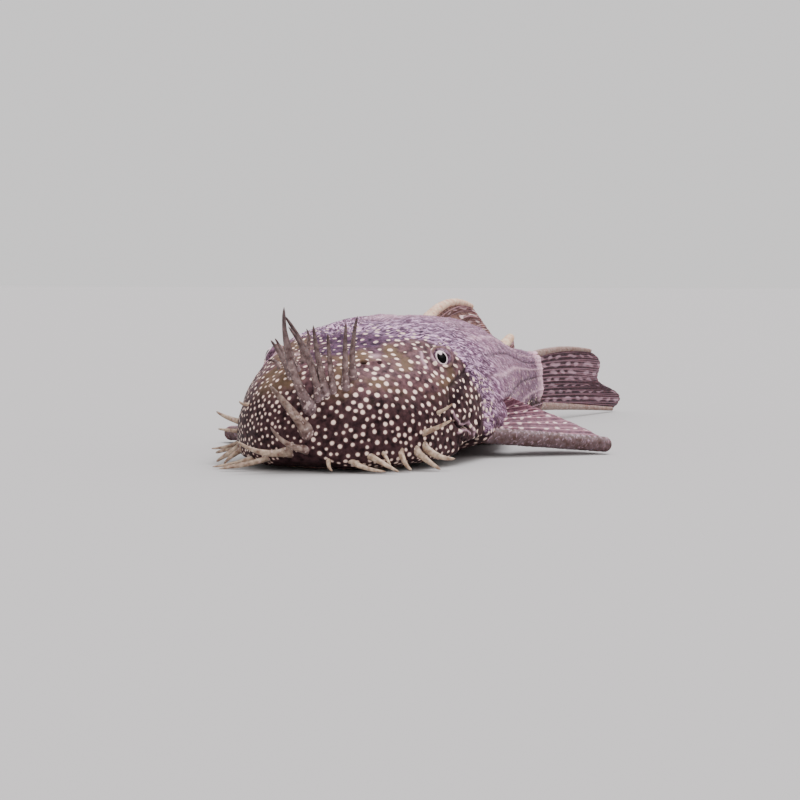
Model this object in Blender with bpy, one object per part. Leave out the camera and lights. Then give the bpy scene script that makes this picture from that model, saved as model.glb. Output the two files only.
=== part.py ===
"""Bristlenose pleco: an adult male armoured catfish, life size, at rest on its belly.

The fish faces -X, its left side is -Y and +Z is up. The origin is on the floor, under the belly.
Places on the fish are given as (place, side, height): the place along the body behind the snout, the
distance from the middle towards the fish's left, and the height above the floor, all as shares of the
standard length, which runs from the snout to the root of the tail fin.
"""

import math

import bmesh
import bpy
import numpy as np
from mathutils import Matrix, Vector

STANDARD_LENGTH = 0.100
BELLY_PLACE = 0.48  # place along the body that stands over the origin
GAP = 0.0003  # clearance between neighbouring nodes

# Sections of the body from the snout to the tail, in shares of the standard length.
PLACE = (0.00, 0.08, 0.16, 0.24, 0.33, 0.45, 0.58, 0.72, 0.86, 1.00)
HALF_WIDTH = (0.158, 0.162, 0.165, 0.167, 0.170, 0.150, 0.118, 0.082, 0.048, 0.017)
BACK_HEIGHT = (0.112, 0.147, 0.173, 0.194, 0.203, 0.200, 0.190, 0.163, 0.136, 0.126)
WIDEST_HEIGHT = (0.032, 0.032, 0.033, 0.036, 0.042, 0.052, 0.060, 0.068, 0.072, 0.072)
UNDERSIDE = (0.004, 0.004, 0.004, 0.004, 0.004, 0.000, 0.000, 0.010, 0.022, 0.021)
BACK_SQUARENESS = (2.30, 2.40, 2.60, 2.80, 2.50, 2.20, 2.20, 2.30, 2.40, 2.40)
UNDERSIDE_SQUARENESS = (3.20, 3.20, 3.20, 2.90, 1.80, 2.20, 2.80, 3.20, 3.20, 3.20)
UNDERSIDE_TRIM = 0.003  # depth shaved off below to leave flat undersides

SNOUT_ROUND_LENGTH = 0.24  # the snout's outline from above is round up to here
SNOUT_SQUARENESS = 2.35
NOSE_ROUND_LENGTH = 0.055  # the thick front edge of the snout is round up to here
SNOUT_TIP = 0.0006

BEND_START = 0.55  # the body is straight up to here, then curves to the fish's left
BEND_ANGLE = math.radians(5.0)  # turned through at the tail fin's root

HEAD_END = 0.352
TRUNK_END = 0.722

# Bony plates on the flanks, in rows that overlap like roof tiles.
PLATE_ROW_EDGES = (0.0, 27.0, 54.0, 81.0, 108.0, 136.0)  # degrees from the top of the back
PLATE_STEP = 0.00045
PLATE_LENGTH = 0.0265
PLATE_SCALLOP = 0.28
PLATE_FRONT_EDGE = 0.16
PLATE_BACK_EDGE = 0.98
ROW_POINTS = 3
BELLY_POINTS = 5

EYE_PLACE = 0.197
EYE_DEGREES = 45.4
EYE_RADIUS = 0.0017
EYE_SINK = 0.0006
ORBIT_RIM_RADIUS = 0.0018
ORBIT_RIM_THICKNESS = 0.00045

NOSTRIL_PLACE = 0.092
NOSTRIL_DEGREES = 22.0
NOSTRIL_RADIUS = 0.0007

MOUTH_PLACE = 0.135
MOUTH_HALF_LENGTH = 0.078
MOUTH_HALF_WIDTH = 0.102
MOUTH_DEPTH = 0.0018  # the mouth is set this deep in the underside of the head
MOUTH_SIDES = 28

FIN_MEMBRANE = 0.00052
FIN_RIDGE = 0.00092
RIDGE_TAPER = 0.35
FLESHY_SHARE = 0.14  # the share of a fleshy fin, from its root, that is thicker
FIN_SPINE_POINTS = 7
FIN_SPINE_REACH = 0.985


def monotone_curve(places, values, at):
    """Cubic through the values that doesn't overshoot between them."""
    x = np.asarray(places, float)
    y = np.asarray(values, float)
    step = np.diff(x)
    slope = np.diff(y) / step
    tangent = np.empty_like(y)
    tangent[0], tangent[-1] = slope[0], slope[-1]
    for k in range(1, len(y) - 1):
        same_way = slope[k - 1] * slope[k] > 0
        tangent[k] = 2 * slope[k - 1] * slope[k] / (slope[k - 1] + slope[k]) if same_way else 0.0
    k = int(np.clip(np.searchsorted(x, at) - 1, 0, len(step) - 1))
    t = (at - x[k]) / step[k]
    return float(
        y[k] * (1 + 2 * t) * (1 - t) ** 2
        + tangent[k] * step[k] * t * (1 - t) ** 2
        + y[k + 1] * t * t * (3 - 2 * t)
        + tangent[k + 1] * step[k] * t * t * (t - 1)
    )


def rounding(place, length, squareness):
    """Share of the full size that a rounded end has reached at this place: a superellipse."""
    if place >= length:
        return 1.0
    return (1 - (1 - place / length) ** squareness) ** (1 / squareness)


def centre_line(place):
    """(x, y) and heading of the body's middle, in shares: straight, then an arc to the fish's left."""
    if place <= BEND_START:
        return place - BELLY_PLACE, 0.0, 0.0
    radius = (1 - BEND_START) / BEND_ANGLE
    angle = (place - BEND_START) / radius
    return BEND_START - BELLY_PLACE + radius * math.sin(angle), -radius * (1 - math.cos(angle)), angle


def on_fish(place, side, height):
    """Point of the row frame, in metres, for a place on the fish."""
    x, y, angle = centre_line(place)
    return STANDARD_LENGTH * Vector(
        (x - side * math.sin(angle), y - side * math.cos(angle), height)
    )


def section_point(place, degrees):
    """Point of the body's surface, degrees from the top of the back towards the fish's left."""
    width = monotone_curve(PLACE, HALF_WIDTH, place)
    width *= rounding(place, SNOUT_ROUND_LENGTH, SNOUT_SQUARENESS)
    nose = rounding(place, NOSE_ROUND_LENGTH, 2.0)
    widest = monotone_curve(PLACE, WIDEST_HEIGHT, place)
    back = widest + (monotone_curve(PLACE, BACK_HEIGHT, place) - widest) * nose
    under = widest - (widest - monotone_curve(PLACE, UNDERSIDE, place)) * nose
    angle = math.radians(degrees)
    across, up = math.sin(angle), math.cos(angle)
    if up >= 0:
        power = 2 / monotone_curve(PLACE, BACK_SQUARENESS, place)
        height = widest + (back - widest) * up**power
    else:
        power = 2 / monotone_curve(PLACE, UNDERSIDE_SQUARENESS, place)
        height = max(under, widest - (widest - under + UNDERSIDE_TRIM * nose) * (-up) ** power)
    side = math.copysign(width * abs(across) ** power, across)
    return on_fish(place, side, height)


def surface_normal(place, degrees):
    """Outward direction of the body's surface."""
    along = section_point(place + 0.004, degrees) - section_point(max(place - 0.004, 0.0), degrees)
    around = section_point(place, degrees + 2) - section_point(place, degrees - 2)
    return along.cross(around).normalized() * -1


def link(name, mesh, material, collection):
    """New object with this mesh and material in the collection."""
    mesh.name = name
    made = bpy.data.objects.new(name, mesh)
    collection.objects.link(made)
    if material:
        mesh.materials.append(material)
    return made


def mesh_from(vertices, faces):
    mesh = bpy.data.meshes.new("mesh")
    mesh.from_pydata([tuple(v) for v in vertices], [], faces)
    builder = bmesh.new()
    builder.from_mesh(mesh)
    bmesh.ops.recalc_face_normals(builder, faces=builder.faces)
    builder.to_mesh(mesh)
    builder.free()
    return mesh


def loft(rings, close_tip=None):
    """Closed skin over rings of equal count, with flat ends, or a point at the front end."""
    count = len(rings[0])
    vertices = [p for ring in rings for p in ring]
    faces = []
    for r in range(len(rings) - 1):
        for k in range(count):
            n = (k + 1) % count
            faces.append((r * count + k, r * count + n, (r + 1) * count + n, (r + 1) * count + k))
    last = (len(rings) - 1) * count
    faces.append(tuple(last + k for k in range(count)))
    if close_tip is None:
        faces.append(tuple(reversed(range(count))))
    else:
        vertices.append(close_tip)
        tip = len(vertices) - 1
        faces += [(k, tip, (k + 1) % count) for k in range(count)]
    return mesh_from(vertices, faces)


def skin_colour(name, colour, roughness):
    material = bpy.data.materials.new(name)
    material.use_nodes = True
    shader = material.node_tree.nodes["Principled BSDF"]
    shader.inputs["Base Color"].default_value = (*colour, 1.0)
    shader.inputs["Roughness"].default_value = roughness
    shader.inputs["Metallic"].default_value = 0.0
    return material


def grown(source, distance, collection):
    """Copy of a node, larger all round by the distance, to cut clearance with."""
    mesh = source.data.copy()
    away = [v.normal.copy() for v in mesh.vertices]
    for v, normal in zip(mesh.vertices, away):
        v.co += normal * distance
    return link(source.name + "_clearance", mesh, None, collection)


def apply_boolean(target, operation, collection=None, cutter=None, solver="EXACT"):
    """Applies one Boolean to the target and keeps its largest closed surface."""
    modifier = target.modifiers.new("boolean", "BOOLEAN")
    modifier.operation = operation
    modifier.solver = solver
    if collection:
        modifier.operand_type = "COLLECTION"
        modifier.collection = collection
    else:
        modifier.object = cutter
    bpy.context.view_layer.update()
    graph = bpy.context.evaluated_depsgraph_get()
    made = bpy.data.meshes.new_from_object(target.evaluated_get(graph))
    target.modifiers.clear()
    old, target.data = target.data, made
    bpy.data.meshes.remove(old)
    keep_largest_surface(target.data)


def keep_largest_surface(mesh):
    """Removes every connected surface but the one with the largest box."""
    builder = bmesh.new()
    builder.from_mesh(mesh)
    unseen = set(builder.verts)
    islands = []
    while unseen:
        stack = [unseen.pop()]
        island = list(stack)
        while stack:
            for edge in stack.pop().link_edges:
                for v in edge.verts:
                    if v in unseen:
                        unseen.discard(v)
                        stack.append(v)
                        island.append(v)
        islands.append(island)

    def diagonal(island):
        co = np.array([v.co for v in island])
        return float(np.linalg.norm(co.max(0) - co.min(0)))

    islands.sort(key=diagonal)
    for island in islands[:-1]:
        bmesh.ops.delete(builder, geom=island, context="VERTS")
    builder.to_mesh(mesh)
    builder.free()


def fuse(target, pieces, solver="EXACT"):
    """Joins closed pieces to the target in one union, and removes them."""
    joined = bpy.data.collections.new("pieces_of_" + target.name)
    bpy.context.scene.collection.children.link(joined)
    for piece in pieces:
        for owner in list(piece.users_collection):
            owner.objects.unlink(piece)
        joined.objects.link(piece)
    apply_boolean(target, "UNION", collection=joined, solver=solver)
    for piece in pieces:
        bpy.data.objects.remove(piece)
    bpy.data.collections.remove(joined)


def cut(target, cutter, solver="EXACT"):
    cutter.hide_render = True
    cutter.display_type = "WIRE"
    apply_boolean(target, "DIFFERENCE", cutter=cutter, solver=solver)


def set_on_floor(node):
    """Flattens what dips under the floor, so that the node rests on small flats."""
    for v in node.data.vertices:
        v.co.z = max(v.co.z, 0.0)


def spine(name, points, radii, sides_level, collection):
    """Tapered round spine along points, as a closed mesh."""
    curve = bpy.data.curves.new(name, "CURVE")
    curve.dimensions = "3D"
    curve.bevel_depth = 1.0
    curve.bevel_resolution = sides_level
    curve.use_fill_caps = True
    line = curve.splines.new("POLY")
    line.points.add(len(points) - 1)
    for knot, point, radius in zip(line.points, points, radii):
        knot.co = (*point, 1.0)
        knot.radius = radius
    drawn = bpy.data.objects.new(name, curve)
    collection.objects.link(drawn)
    bpy.context.view_layer.update()
    graph = bpy.context.evaluated_depsgraph_get()
    mesh = bpy.data.meshes.new_from_object(drawn.evaluated_get(graph))
    bpy.data.objects.remove(drawn)
    builder = bmesh.new()
    builder.from_mesh(mesh)
    bmesh.ops.remove_doubles(builder, verts=builder.verts, dist=1e-7)
    bmesh.ops.recalc_face_normals(builder, faces=builder.faces)
    builder.to_mesh(mesh)
    builder.free()
    return link(name, mesh, None, collection)


def arc_points(start, pull, end, count):
    """Points along a quadratic curve from start to end, drawn towards pull."""
    found = []
    for k in range(count):
        t = k / (count - 1)
        found.append(start * (1 - t) ** 2 + pull * (2 * t * (1 - t)) + end * t * t)
    return found


# The body: head, trunk and tail stalk.


def snout_places(count):
    """Places of the rings over the rounded snout, closer together towards its tip."""
    return [
        max(SNOUT_TIP, SNOUT_ROUND_LENGTH * (1 - math.cos(math.pi / 2 * k / count)))
        for k in range(count + 1)
    ]


def head_mesh():
    snout_rings, cheek_rings, around = 14, 6, 40
    places = snout_places(snout_rings)
    places += list(np.linspace(SNOUT_ROUND_LENGTH, HEAD_END, cheek_rings + 1)[1:])
    degrees = [360 * k / around for k in range(around)]
    rings = [[section_point(place, d) for d in degrees] for place in places]
    return loft(rings, close_tip=on_fish(0.0, 0.0, WIDEST_HEIGHT[0]))


def plate_columns():
    """(degrees, share of the way across the plate row) all round the body."""
    left = []
    for low, high in zip(PLATE_ROW_EDGES[:-1], PLATE_ROW_EDGES[1:]):
        for k in range(ROW_POINTS):
            across = k / ROW_POINTS
            left.append((low + (high - low) * across, across))
    belly = np.linspace(PLATE_ROW_EDGES[-1], 360 - PLATE_ROW_EDGES[-1], BELLY_POINTS + 1)
    right = [(360 - d, across) for d, across in left[1:]]
    return left + [(float(d), 0.0) for d in belly] + right[::-1]


def plated_mesh(start, end):
    """Length of body between two places, with its plates raised in its own surface."""
    count = round((end - start) / PLATE_LENGTH)
    pitch = (end - start) / count
    columns = plate_columns()
    rings = [[section_point(start, d) for d, _ in columns]]
    for plate in range(count):
        front = start + plate * pitch
        for edge, raised in ((PLATE_FRONT_EDGE, 0.0), (PLATE_BACK_EDGE, PLATE_STEP)):
            ring = []
            for degrees, across in columns:
                bulge = 4 * across * (1 - across)
                scallop = 0.0 if plate == count - 1 else PLATE_SCALLOP * bulge
                place = front + pitch * (edge + scallop)
                out = surface_normal(place, degrees) * raised * min(1.0, 1.2 * bulge)
                ring.append(section_point(place, degrees) + out)
            rings.append(ring)
    rings.append([section_point(end, d) for d, _ in columns])
    return loft(rings)


def ball(name, centre, radius, segments, rings, collection):
    bpy.ops.mesh.primitive_uv_sphere_add(
        segments=segments, ring_count=rings, radius=radius, location=centre
    )
    return rename_into(name, collection)


def rename_into(name, collection):
    """Takes the object that an operator has just made into the collection, with its place applied."""
    made = bpy.context.active_object
    made.name = name
    made.data.name = name
    for owner in list(made.users_collection):
        owner.objects.unlink(made)
    collection.objects.link(made)
    made.data.transform(made.matrix_world)
    made.matrix_world = Matrix.Identity(4)
    return made


def ring_round(name, centre, axis, major, minor, segments, collection):
    turn = axis.to_track_quat("Z", "Y").to_euler()
    bpy.ops.mesh.primitive_torus_add(
        major_radius=major,
        minor_radius=minor,
        major_segments=segments,
        minor_segments=6,
        location=centre,
        rotation=turn,
    )
    bpy.context.view_layer.update()
    return rename_into(name, collection)


def eye_centre(side):
    degrees = EYE_DEGREES * side
    return section_point(EYE_PLACE, degrees) - surface_normal(EYE_PLACE, degrees) * EYE_SINK


# Bristles: fleshy tentacles round the snout's edge, and in two rows that climb it in a Y. Each has
# its place, its degrees, the point it is drawn towards and its tip, both in millimetres from its
# root, and its radius in millimetres.

BRISTLE_SINK = 0.0011
BRISTLE_POINTS = 6
BRISTLE_TIP_SHARE = 0.22
BRISTLES = (
    # The left arm.
    (0.011, 6, (-1.5, 3.6, 6.3), (-0.9, 3.5, 13.9), 0.66),
    (0.017, 10, (-0.1, 0.4, 5.8), (-1.1, 3.8, 10.1), 0.53),
    (0.020, 12, (0.3, 1.5, 6.1), (-0.7, 5.1, 11.1), 0.58),
    (0.022, 16, (-0.4, 1.2, 4.7), (-0.3, 1.8, 9.6), 0.55),
    (0.025, 21, (-0.2, 0.5, 4.1), (0.0, 0.8, 8.3), 0.48),
    (0.033, 28, (0.0, 0.2, 4.6), (0.4, 0.1, 9.1), 0.50),
    (0.050, 26, (-0.1, 0.6, 4.2), (0.5, -0.3, 8.4), 0.48),
    # The right arm.
    (0.042, -16, (0.2, 1.1, 2.8), (-0.3, 2.8, 5.1), 0.48),
    (0.054, -12, (0.0, 1.5, 3.3), (0.1, 2.0, 6.9), 0.48),
    (0.074, -29, (0.9, -0.4, 1.6), (0.2, 1.4, 1.4), 0.38),
    (0.087, -23, (0.6, 0.6, 1.8), (0.3, 1.7, 3.5), 0.38),
    (0.074, -11, (0.8, -0.2, 2.6), (0.2, 1.7, 4.5), 0.41),
    (0.094, -16, (1.4, -2.0, 1.9), (1.1, -1.0, 4.2), 0.36),
    # The stem at the front.
    (0.002, 9, (-2.0, 1.6, 3.5), (-2.7, 4.2, 6.5), 0.74),
    (0.001, 168, (-2.6, 2.3, 0.6), (-3.1, 4.1, 3.7), 0.50),
    # The snout's left edge and cheek.
    (0.005, 136, (-0.6, -0.1, -1.4), (-0.4, -0.9, -1.7), 0.36),
    (0.016, 134, (-0.4, -1.7, -0.8), (0.9, -5.3, -1.1), 0.46),
    (0.025, 98, (-0.3, -2.7, -1.2), (0.2, -4.4, -2.1), 0.43),
    (0.039, 90, (-0.6, -0.8, -1.1), (-0.5, -1.3, -2.3), 0.34),
    (0.063, 89, (-1.1, -0.4, -2.6), (-0.8, -1.5, -3.2), 0.46),
    (0.083, 90, (-0.6, -1.6, -1.8), (0.0, -3.4, -2.9), 0.55),
    (0.097, 89, (-0.4, -1.6, -2.1), (0.5, -4.1, -2.0), 0.58),
    (0.095, 85, (-0.4, -2.3, 1.0), (0.3, -3.9, 2.1), 0.41),
    (0.127, 76, (-0.3, -1.3, 0.6), (0.1, -2.1, 1.5), 0.31),
    # The snout's right edge and cheek.
    (0.001, -134, (-2.8, 2.6, -0.9), (-3.9, 6.0, 1.6), 0.56),
    (0.016, -142, (-1.9, 2.0, -0.6), (-3.5, 6.2, -0.9), 0.43),
    (0.034, -130, (-1.3, 2.3, -0.4), (-2.5, 5.6, -0.7), 0.38),
    (0.036, -146, (-1.7, 2.0, 0.1), (-2.9, 5.1, -0.2), 0.36),
    (0.092, -90, (-0.2, 2.5, -1.2), (-0.6, 3.8, -1.1), 0.29),
    (0.093, -86, (-0.2, 1.9, 0.2), (-0.1, 3.0, 0.3), 0.31),
    (0.051, -58, (0.0, 1.6, -0.8), (0.2, 1.9, -0.1), 0.31),
    (0.060, -93, (-0.8, 1.2, -1.2), (-0.6, 2.2, -2.5), 0.43),
    (0.078, -91, (-0.5, 1.7, -1.6), (0.1, 3.4, -2.6), 0.50),
    (0.110, -90, (-0.3, 1.8, -1.5), (0.6, 3.8, -2.0), 0.50),
    (0.104, -82, (-0.3, 2.1, 0.7), (0.4, 3.6, 1.5), 0.41),
    (0.128, -91, (0.0, 1.6, -1.2), (0.9, 3.0, -1.6), 0.43),
)

CHEEK_SPINES = 4  # hooked spines below and behind the eye, on each side
CHEEK_SPINE_LENGTH = 0.0019
CHEEK_SPINE_RADIUS = 0.00030


def bristles(collection):
    """The bristles, each rooted under the skin and kept above the floor."""
    made = []
    for k, (place, degrees, drawn_to, end, radius) in enumerate(BRISTLES):
        on_skin = section_point(place, degrees)
        pull = on_skin + Vector(drawn_to) / 1000
        tip = on_skin + Vector(end) / 1000
        radius /= 1000
        root = on_skin - surface_normal(place, degrees) * BRISTLE_SINK
        tip.z = max(tip.z, BRISTLE_TIP_SHARE * radius + 0.0002)
        pull.z = max(pull.z, radius)
        points = arc_points(root, pull, tip, BRISTLE_POINTS)
        shares = np.linspace(0, 1, BRISTLE_POINTS)
        radii = [radius * (1.15 - (1.15 - BRISTLE_TIP_SHARE) * t**0.9) for t in shares]
        made.append(spine(f"bristle_{k}", points, radii, 1, collection))
    return made


def cheek_spines(collection):
    made = []
    for side in (1, -1):
        for k in range(CHEEK_SPINES):
            place = 0.262 + 0.012 * (k % 2)
            degrees = side * (68 + 6 * k)
            out = surface_normal(place, degrees)
            back = Vector((1.0, 0.0, 0.0))
            root = section_point(place, degrees) - out * BRISTLE_SINK * 0.5
            pull = root + out * (BRISTLE_SINK * 0.5 + CHEEK_SPINE_LENGTH * 0.5)
            tip = pull + back * CHEEK_SPINE_LENGTH * 0.8
            points = arc_points(root, pull, tip, 4)
            radii = [CHEEK_SPINE_RADIUS * (1 - 0.25 * k) for k in range(4)]
            made.append(spine(f"cheek_spine{side}_{k}", points, radii, 0, collection))
    return made


def mouth_recess(collection):
    """Oval plug, larger than the sucker mouth by the gap, to cut its seat in the head with."""
    bpy.ops.mesh.primitive_cylinder_add(vertices=MOUTH_SIDES, radius=1.0, depth=2.0)
    plug = rename_into("mouth_recess", collection)
    half_length, half_width = (STANDARD_LENGTH * half + GAP for half in (MOUTH_HALF_LENGTH, MOUTH_HALF_WIDTH))
    plug.data.transform(Matrix.Diagonal((half_length, half_width, MOUTH_DEPTH + GAP, 1.0)))
    plug.data.transform(Matrix.Translation(on_fish(MOUTH_PLACE, 0.0, 0.0)))
    return plug


def make_head(material, collection, helpers):
    head = link("head", head_mesh(), material, collection)
    pieces = bristles(helpers) + cheek_spines(helpers)
    for side in (1, -1):
        out = surface_normal(EYE_PLACE, EYE_DEGREES * side)
        centre = section_point(EYE_PLACE, EYE_DEGREES * side)
        pieces.append(
            ring_round(f"orbit{side}", centre, out, ORBIT_RIM_RADIUS, ORBIT_RIM_THICKNESS, 16, helpers)
        )
    fuse(head, pieces)
    plug = mouth_recess(helpers)
    cut(head, plug)
    bpy.data.objects.remove(plug)
    for side in (1, -1):
        socket = ball("socket", eye_centre(side), EYE_RADIUS + GAP, 16, 12, helpers)
        cut(head, socket)
        bpy.data.objects.remove(socket)
        place = section_point(NOSTRIL_PLACE, NOSTRIL_DEGREES * side)
        pit = ball("pit", place, NOSTRIL_RADIUS, 10, 6, helpers)
        cut(head, pit)
        bpy.data.objects.remove(pit)
    return head


def make_eye(name, side, material, collection):
    eye = ball(name, eye_centre(side), EYE_RADIUS, 16, 12, collection)
    eye.data.materials.append(material)
    eye.data.shade_smooth()
    return eye


def make_mouth(material, collection):
    """Sucker mouth: an oval disc with a thick rolled lip round the mouth's hollow."""
    # Shares of the disc's radius and depth, from its top over the lip's roll into the hollow.
    profile = (
        (0.80, 1.0), (0.95, 0.72), (1.0, 0.42), (0.97, 0.14),
        (0.90, 0.0), (0.60, 0.0), (0.50, 0.12), (0.44, 0.42),
    )
    rings = []
    for radius, height in profile:
        ring = []
        for k in range(MOUTH_SIDES):
            turn = 2 * math.pi * k / MOUTH_SIDES
            place = MOUTH_PLACE - radius * MOUTH_HALF_LENGTH * math.cos(turn)
            side = radius * MOUTH_HALF_WIDTH * math.sin(turn)
            ring.append(on_fish(place, side, height * MOUTH_DEPTH / STANDARD_LENGTH))
        rings.append(ring)
    return link("sucker_mouth", loft(rings), material, collection)


# Fins: thin webs with the rays raised as ridges, behind a stout leading spine.


def bezier(points, t):
    """Point on the smooth curve that (place, side, height) places draw, from the first to the last."""
    left = [np.array(p, float) for p in points]
    while len(left) > 1:
        left = [a + (b - a) * t for a, b in zip(left[:-1], left[1:])]
    return left[0]


def fin_surface(fin, u, v):
    """Middle surface of a fin: u runs from its first ray to its last, v from root to tip."""
    start = bezier(fin["root"], u)
    end = bezier(fin["tips"], u)
    place, side, height = start + (end - start) * v
    arch = fin.get("arch", 0.0) * (1 - 0.85 * u)
    return on_fish(place, side, height + arch * v * (1 - v))


def fin_mesh(fin):
    """Closed web: each ray is a ridge on both faces, with a hollow between it and the next."""
    rows = fin["rows"]
    columns = 2 * fin["rays"] - 1
    shares = [c / (columns - 1) for c in range(columns)]
    sheet = [[fin_surface(fin, share, r / rows) for share in shares] for r in range(rows + 1)]
    front, back = [], []
    for r in range(rows + 1):
        v = r / rows
        for c in range(columns):
            along = sheet[min(r + 1, rows)][c] - sheet[max(r - 1, 0)][c]
            across = sheet[r][min(c + 1, columns - 1)] - sheet[r][max(c - 1, 0)]
            normal = along.cross(across).normalized()
            is_ray = c % 2 == 0
            thick = FIN_RIDGE * (1 - RIDGE_TAPER * v) if is_ray else FIN_MEMBRANE
            thick += fin.get("flesh", 0.0) * max(0.0, 1 - v / FLESHY_SHARE) ** 1.5
            pleat = fin.get("pleat", 0.0) * (-1) ** (c // 2) * math.sin(math.pi * v) if is_ray else 0.0
            point = sheet[r][c] + normal * pleat
            front.append(point + normal * thick / 2)
            back.append(point - normal * thick / 2)
    size = len(front)
    faces = []
    for r in range(rows):
        for c in range(columns - 1):
            a, b = r * columns + c, r * columns + c + 1
            d, e = a + columns, b + columns
            triangles = ((a, b, e), (a, e, d)) if (c + r) % 2 else ((a, b, d), (b, e, d))
            for i, j, k in triangles:
                faces += [(i, j, k), (size + k, size + j, size + i)]
    edge = [(0, c) for c in range(columns)]
    edge += [(r, columns - 1) for r in range(1, rows + 1)]
    edge += [(rows, c) for c in range(columns - 2, -1, -1)]
    edge += [(r, 0) for r in range(rows - 1, 0, -1)]
    outline = [r * columns + c for r, c in edge]
    for i, j in zip(outline, outline[1:] + outline[:1]):
        faces.append((j, i, size + i, size + j))
    return mesh_from(front + back, faces)


def make_fin(name, fin, material, collection, helpers, clearances):
    """Web and leading spines of one fin, trimmed clear of the body it grows from."""
    node = link(name, fin_mesh(fin), material, collection)
    pieces = []
    for u, radius in fin["spines"]:
        shares = np.linspace(0, 1, FIN_SPINE_POINTS)
        points = [fin_surface(fin, u, share * FIN_SPINE_REACH) for share in shares]
        radii = [radius * (1 - fin["taper"] * share) for share in shares]
        pieces.append(spine(f"{name}_spine", points, radii, 2, helpers))
    fuse(node, pieces, solver="MANIFOLD")
    for clearance in clearances:
        cut(node, clearance, solver="MANIFOLD")
    set_on_floor(node)
    return node


def mirrored(fin):
    """The same fin on the fish's right side."""
    flipped = dict(fin)
    for line in ("root", "tips"):
        flipped[line] = tuple((place, -side, height) for place, side, height in fin[line])
    return flipped


PECTORAL = {
    "root": ((0.322, 0.138, 0.034), (0.342, 0.140, 0.046), (0.364, 0.138, 0.062)),
    "tips": ((0.430, 0.312, 0.0135), (0.475, 0.270, 0.035), (0.500, 0.185, 0.055), (0.375, 0.172, 0.085)),
    "rays": 8,
    "rows": 8,
    "spines": ((0.0, 0.00140),),
    "taper": 0.10,
}
PELVIC = {
    "root": ((0.500, 0.085, 0.016), (0.525, 0.085, 0.016), (0.550, 0.080, 0.016)),
    "tips": ((0.690, 0.180, 0.0036), (0.765, 0.165, 0.0045), (0.705, 0.115, 0.010)),
    "rays": 6,
    "rows": 7,
    "spines": ((0.0, 0.00085),),
    "taper": 0.55,
}
DORSAL = {
    "root": ((0.478, 0.0, 0.190), (0.600, 0.0, 0.176), (0.710, 0.0, 0.148)),
    "tips": ((0.705, 0.0, 0.211), (0.748, 0.0, 0.190), (0.800, 0.0, 0.162)),
    "rays": 8,
    "rows": 8,
    "spines": ((0.0, 0.0009),),
    "pleat": 0.0003,
    "taper": 0.55,
    "arch": 0.072,
}
ADIPOSE = {
    "root": ((0.815, 0.0, 0.128), (0.845, 0.0, 0.122), (0.872, 0.0, 0.118)),
    "tips": ((0.882, 0.005, 0.158), (0.892, 0.005, 0.150), (0.896, 0.004, 0.138)),
    "rays": 3,
    "rows": 4,
    "spines": ((0.0, 0.0012),),
    "taper": 0.45,
}
ANAL = {
    "root": ((0.690, 0.0, 0.020), (0.705, 0.0, 0.024), (0.722, 0.0, 0.028)),
    "tips": ((0.800, 0.0, 0.0065), (0.835, 0.0, 0.0070), (0.822, 0.0, 0.0120)),
    "rays": 5,
    "rows": 5,
    "spines": ((0.0, 0.0006),),
    "taper": 0.55,
}
CAUDAL = {
    "root": ((0.985, 0.0, 0.120), (0.985, 0.0, 0.074), (0.985, 0.0, 0.031)),
    "tips": (
        (1.225, 0.020, 0.121), (1.242, 0.020, 0.110), (1.466, 0.020, 0.072), (0.898, 0.020, 0.053),
        (1.502, 0.020, 0.066), (1.388, 0.020, 0.021), (1.330, 0.020, 0.006),
    ),
    "rays": 16,
    "rows": 9,
    "spines": ((0.0, 0.0007), (1.0, 0.0008)),
    "arch": 0.030,
    "flesh": 0.0012,
    "taper": 0.55,
}


def main():
    for old in list(bpy.data.objects):
        bpy.data.objects.remove(old)
    fish = bpy.data.collections.new("bristlenose_pleco")
    helpers = bpy.data.collections.new("cutters")
    for collection in (fish, helpers):
        bpy.context.scene.collection.children.link(collection)

    armour = skin_colour("armour", (0.115, 0.080, 0.095), 0.55)
    snout_skin = skin_colour("snout_skin", (0.060, 0.042, 0.048), 0.50)
    fin_skin = skin_colour("fin_skin", (0.150, 0.105, 0.110), 0.55)
    lip_skin = skin_colour("lip_skin", (0.420, 0.300, 0.300), 0.60)
    eye_gloss = skin_colour("eye_gloss", (0.030, 0.022, 0.025), 0.15)

    head = make_head(snout_skin, fish, helpers)
    half_gap = GAP / 2 / STANDARD_LENGTH
    trunk = link("trunk", plated_mesh(HEAD_END + 2 * half_gap, TRUNK_END - half_gap), armour, fish)
    tail = link("tail_stalk", plated_mesh(TRUNK_END + half_gap, 1.0), armour, fish)
    make_mouth(lip_skin, fish)
    make_eye("eye_left", 1, eye_gloss, fish)
    make_eye("eye_right", -1, eye_gloss, fish)

    plain_head = link("plain_head", head_mesh(), None, helpers)
    clearances = [grown(node, GAP, helpers) for node in (plain_head, trunk, tail)]
    fins = (
        ("pectoral_fin_left", PECTORAL),
        ("pectoral_fin_right", mirrored(PECTORAL)),
        ("pelvic_fin_left", PELVIC),
        ("pelvic_fin_right", mirrored(PELVIC)),
        ("dorsal_fin", DORSAL),
        ("adipose_fin", ADIPOSE),
        ("anal_fin", ANAL),
        ("tail_fin", CAUDAL),
    )
    for name, fin in fins:
        make_fin(name, fin, fin_skin, fish, helpers, clearances)
    for helper in [plain_head, *clearances]:
        bpy.data.objects.remove(helper)


main()
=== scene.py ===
import math

import bpy
import numpy as np
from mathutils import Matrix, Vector, kdtree


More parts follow.
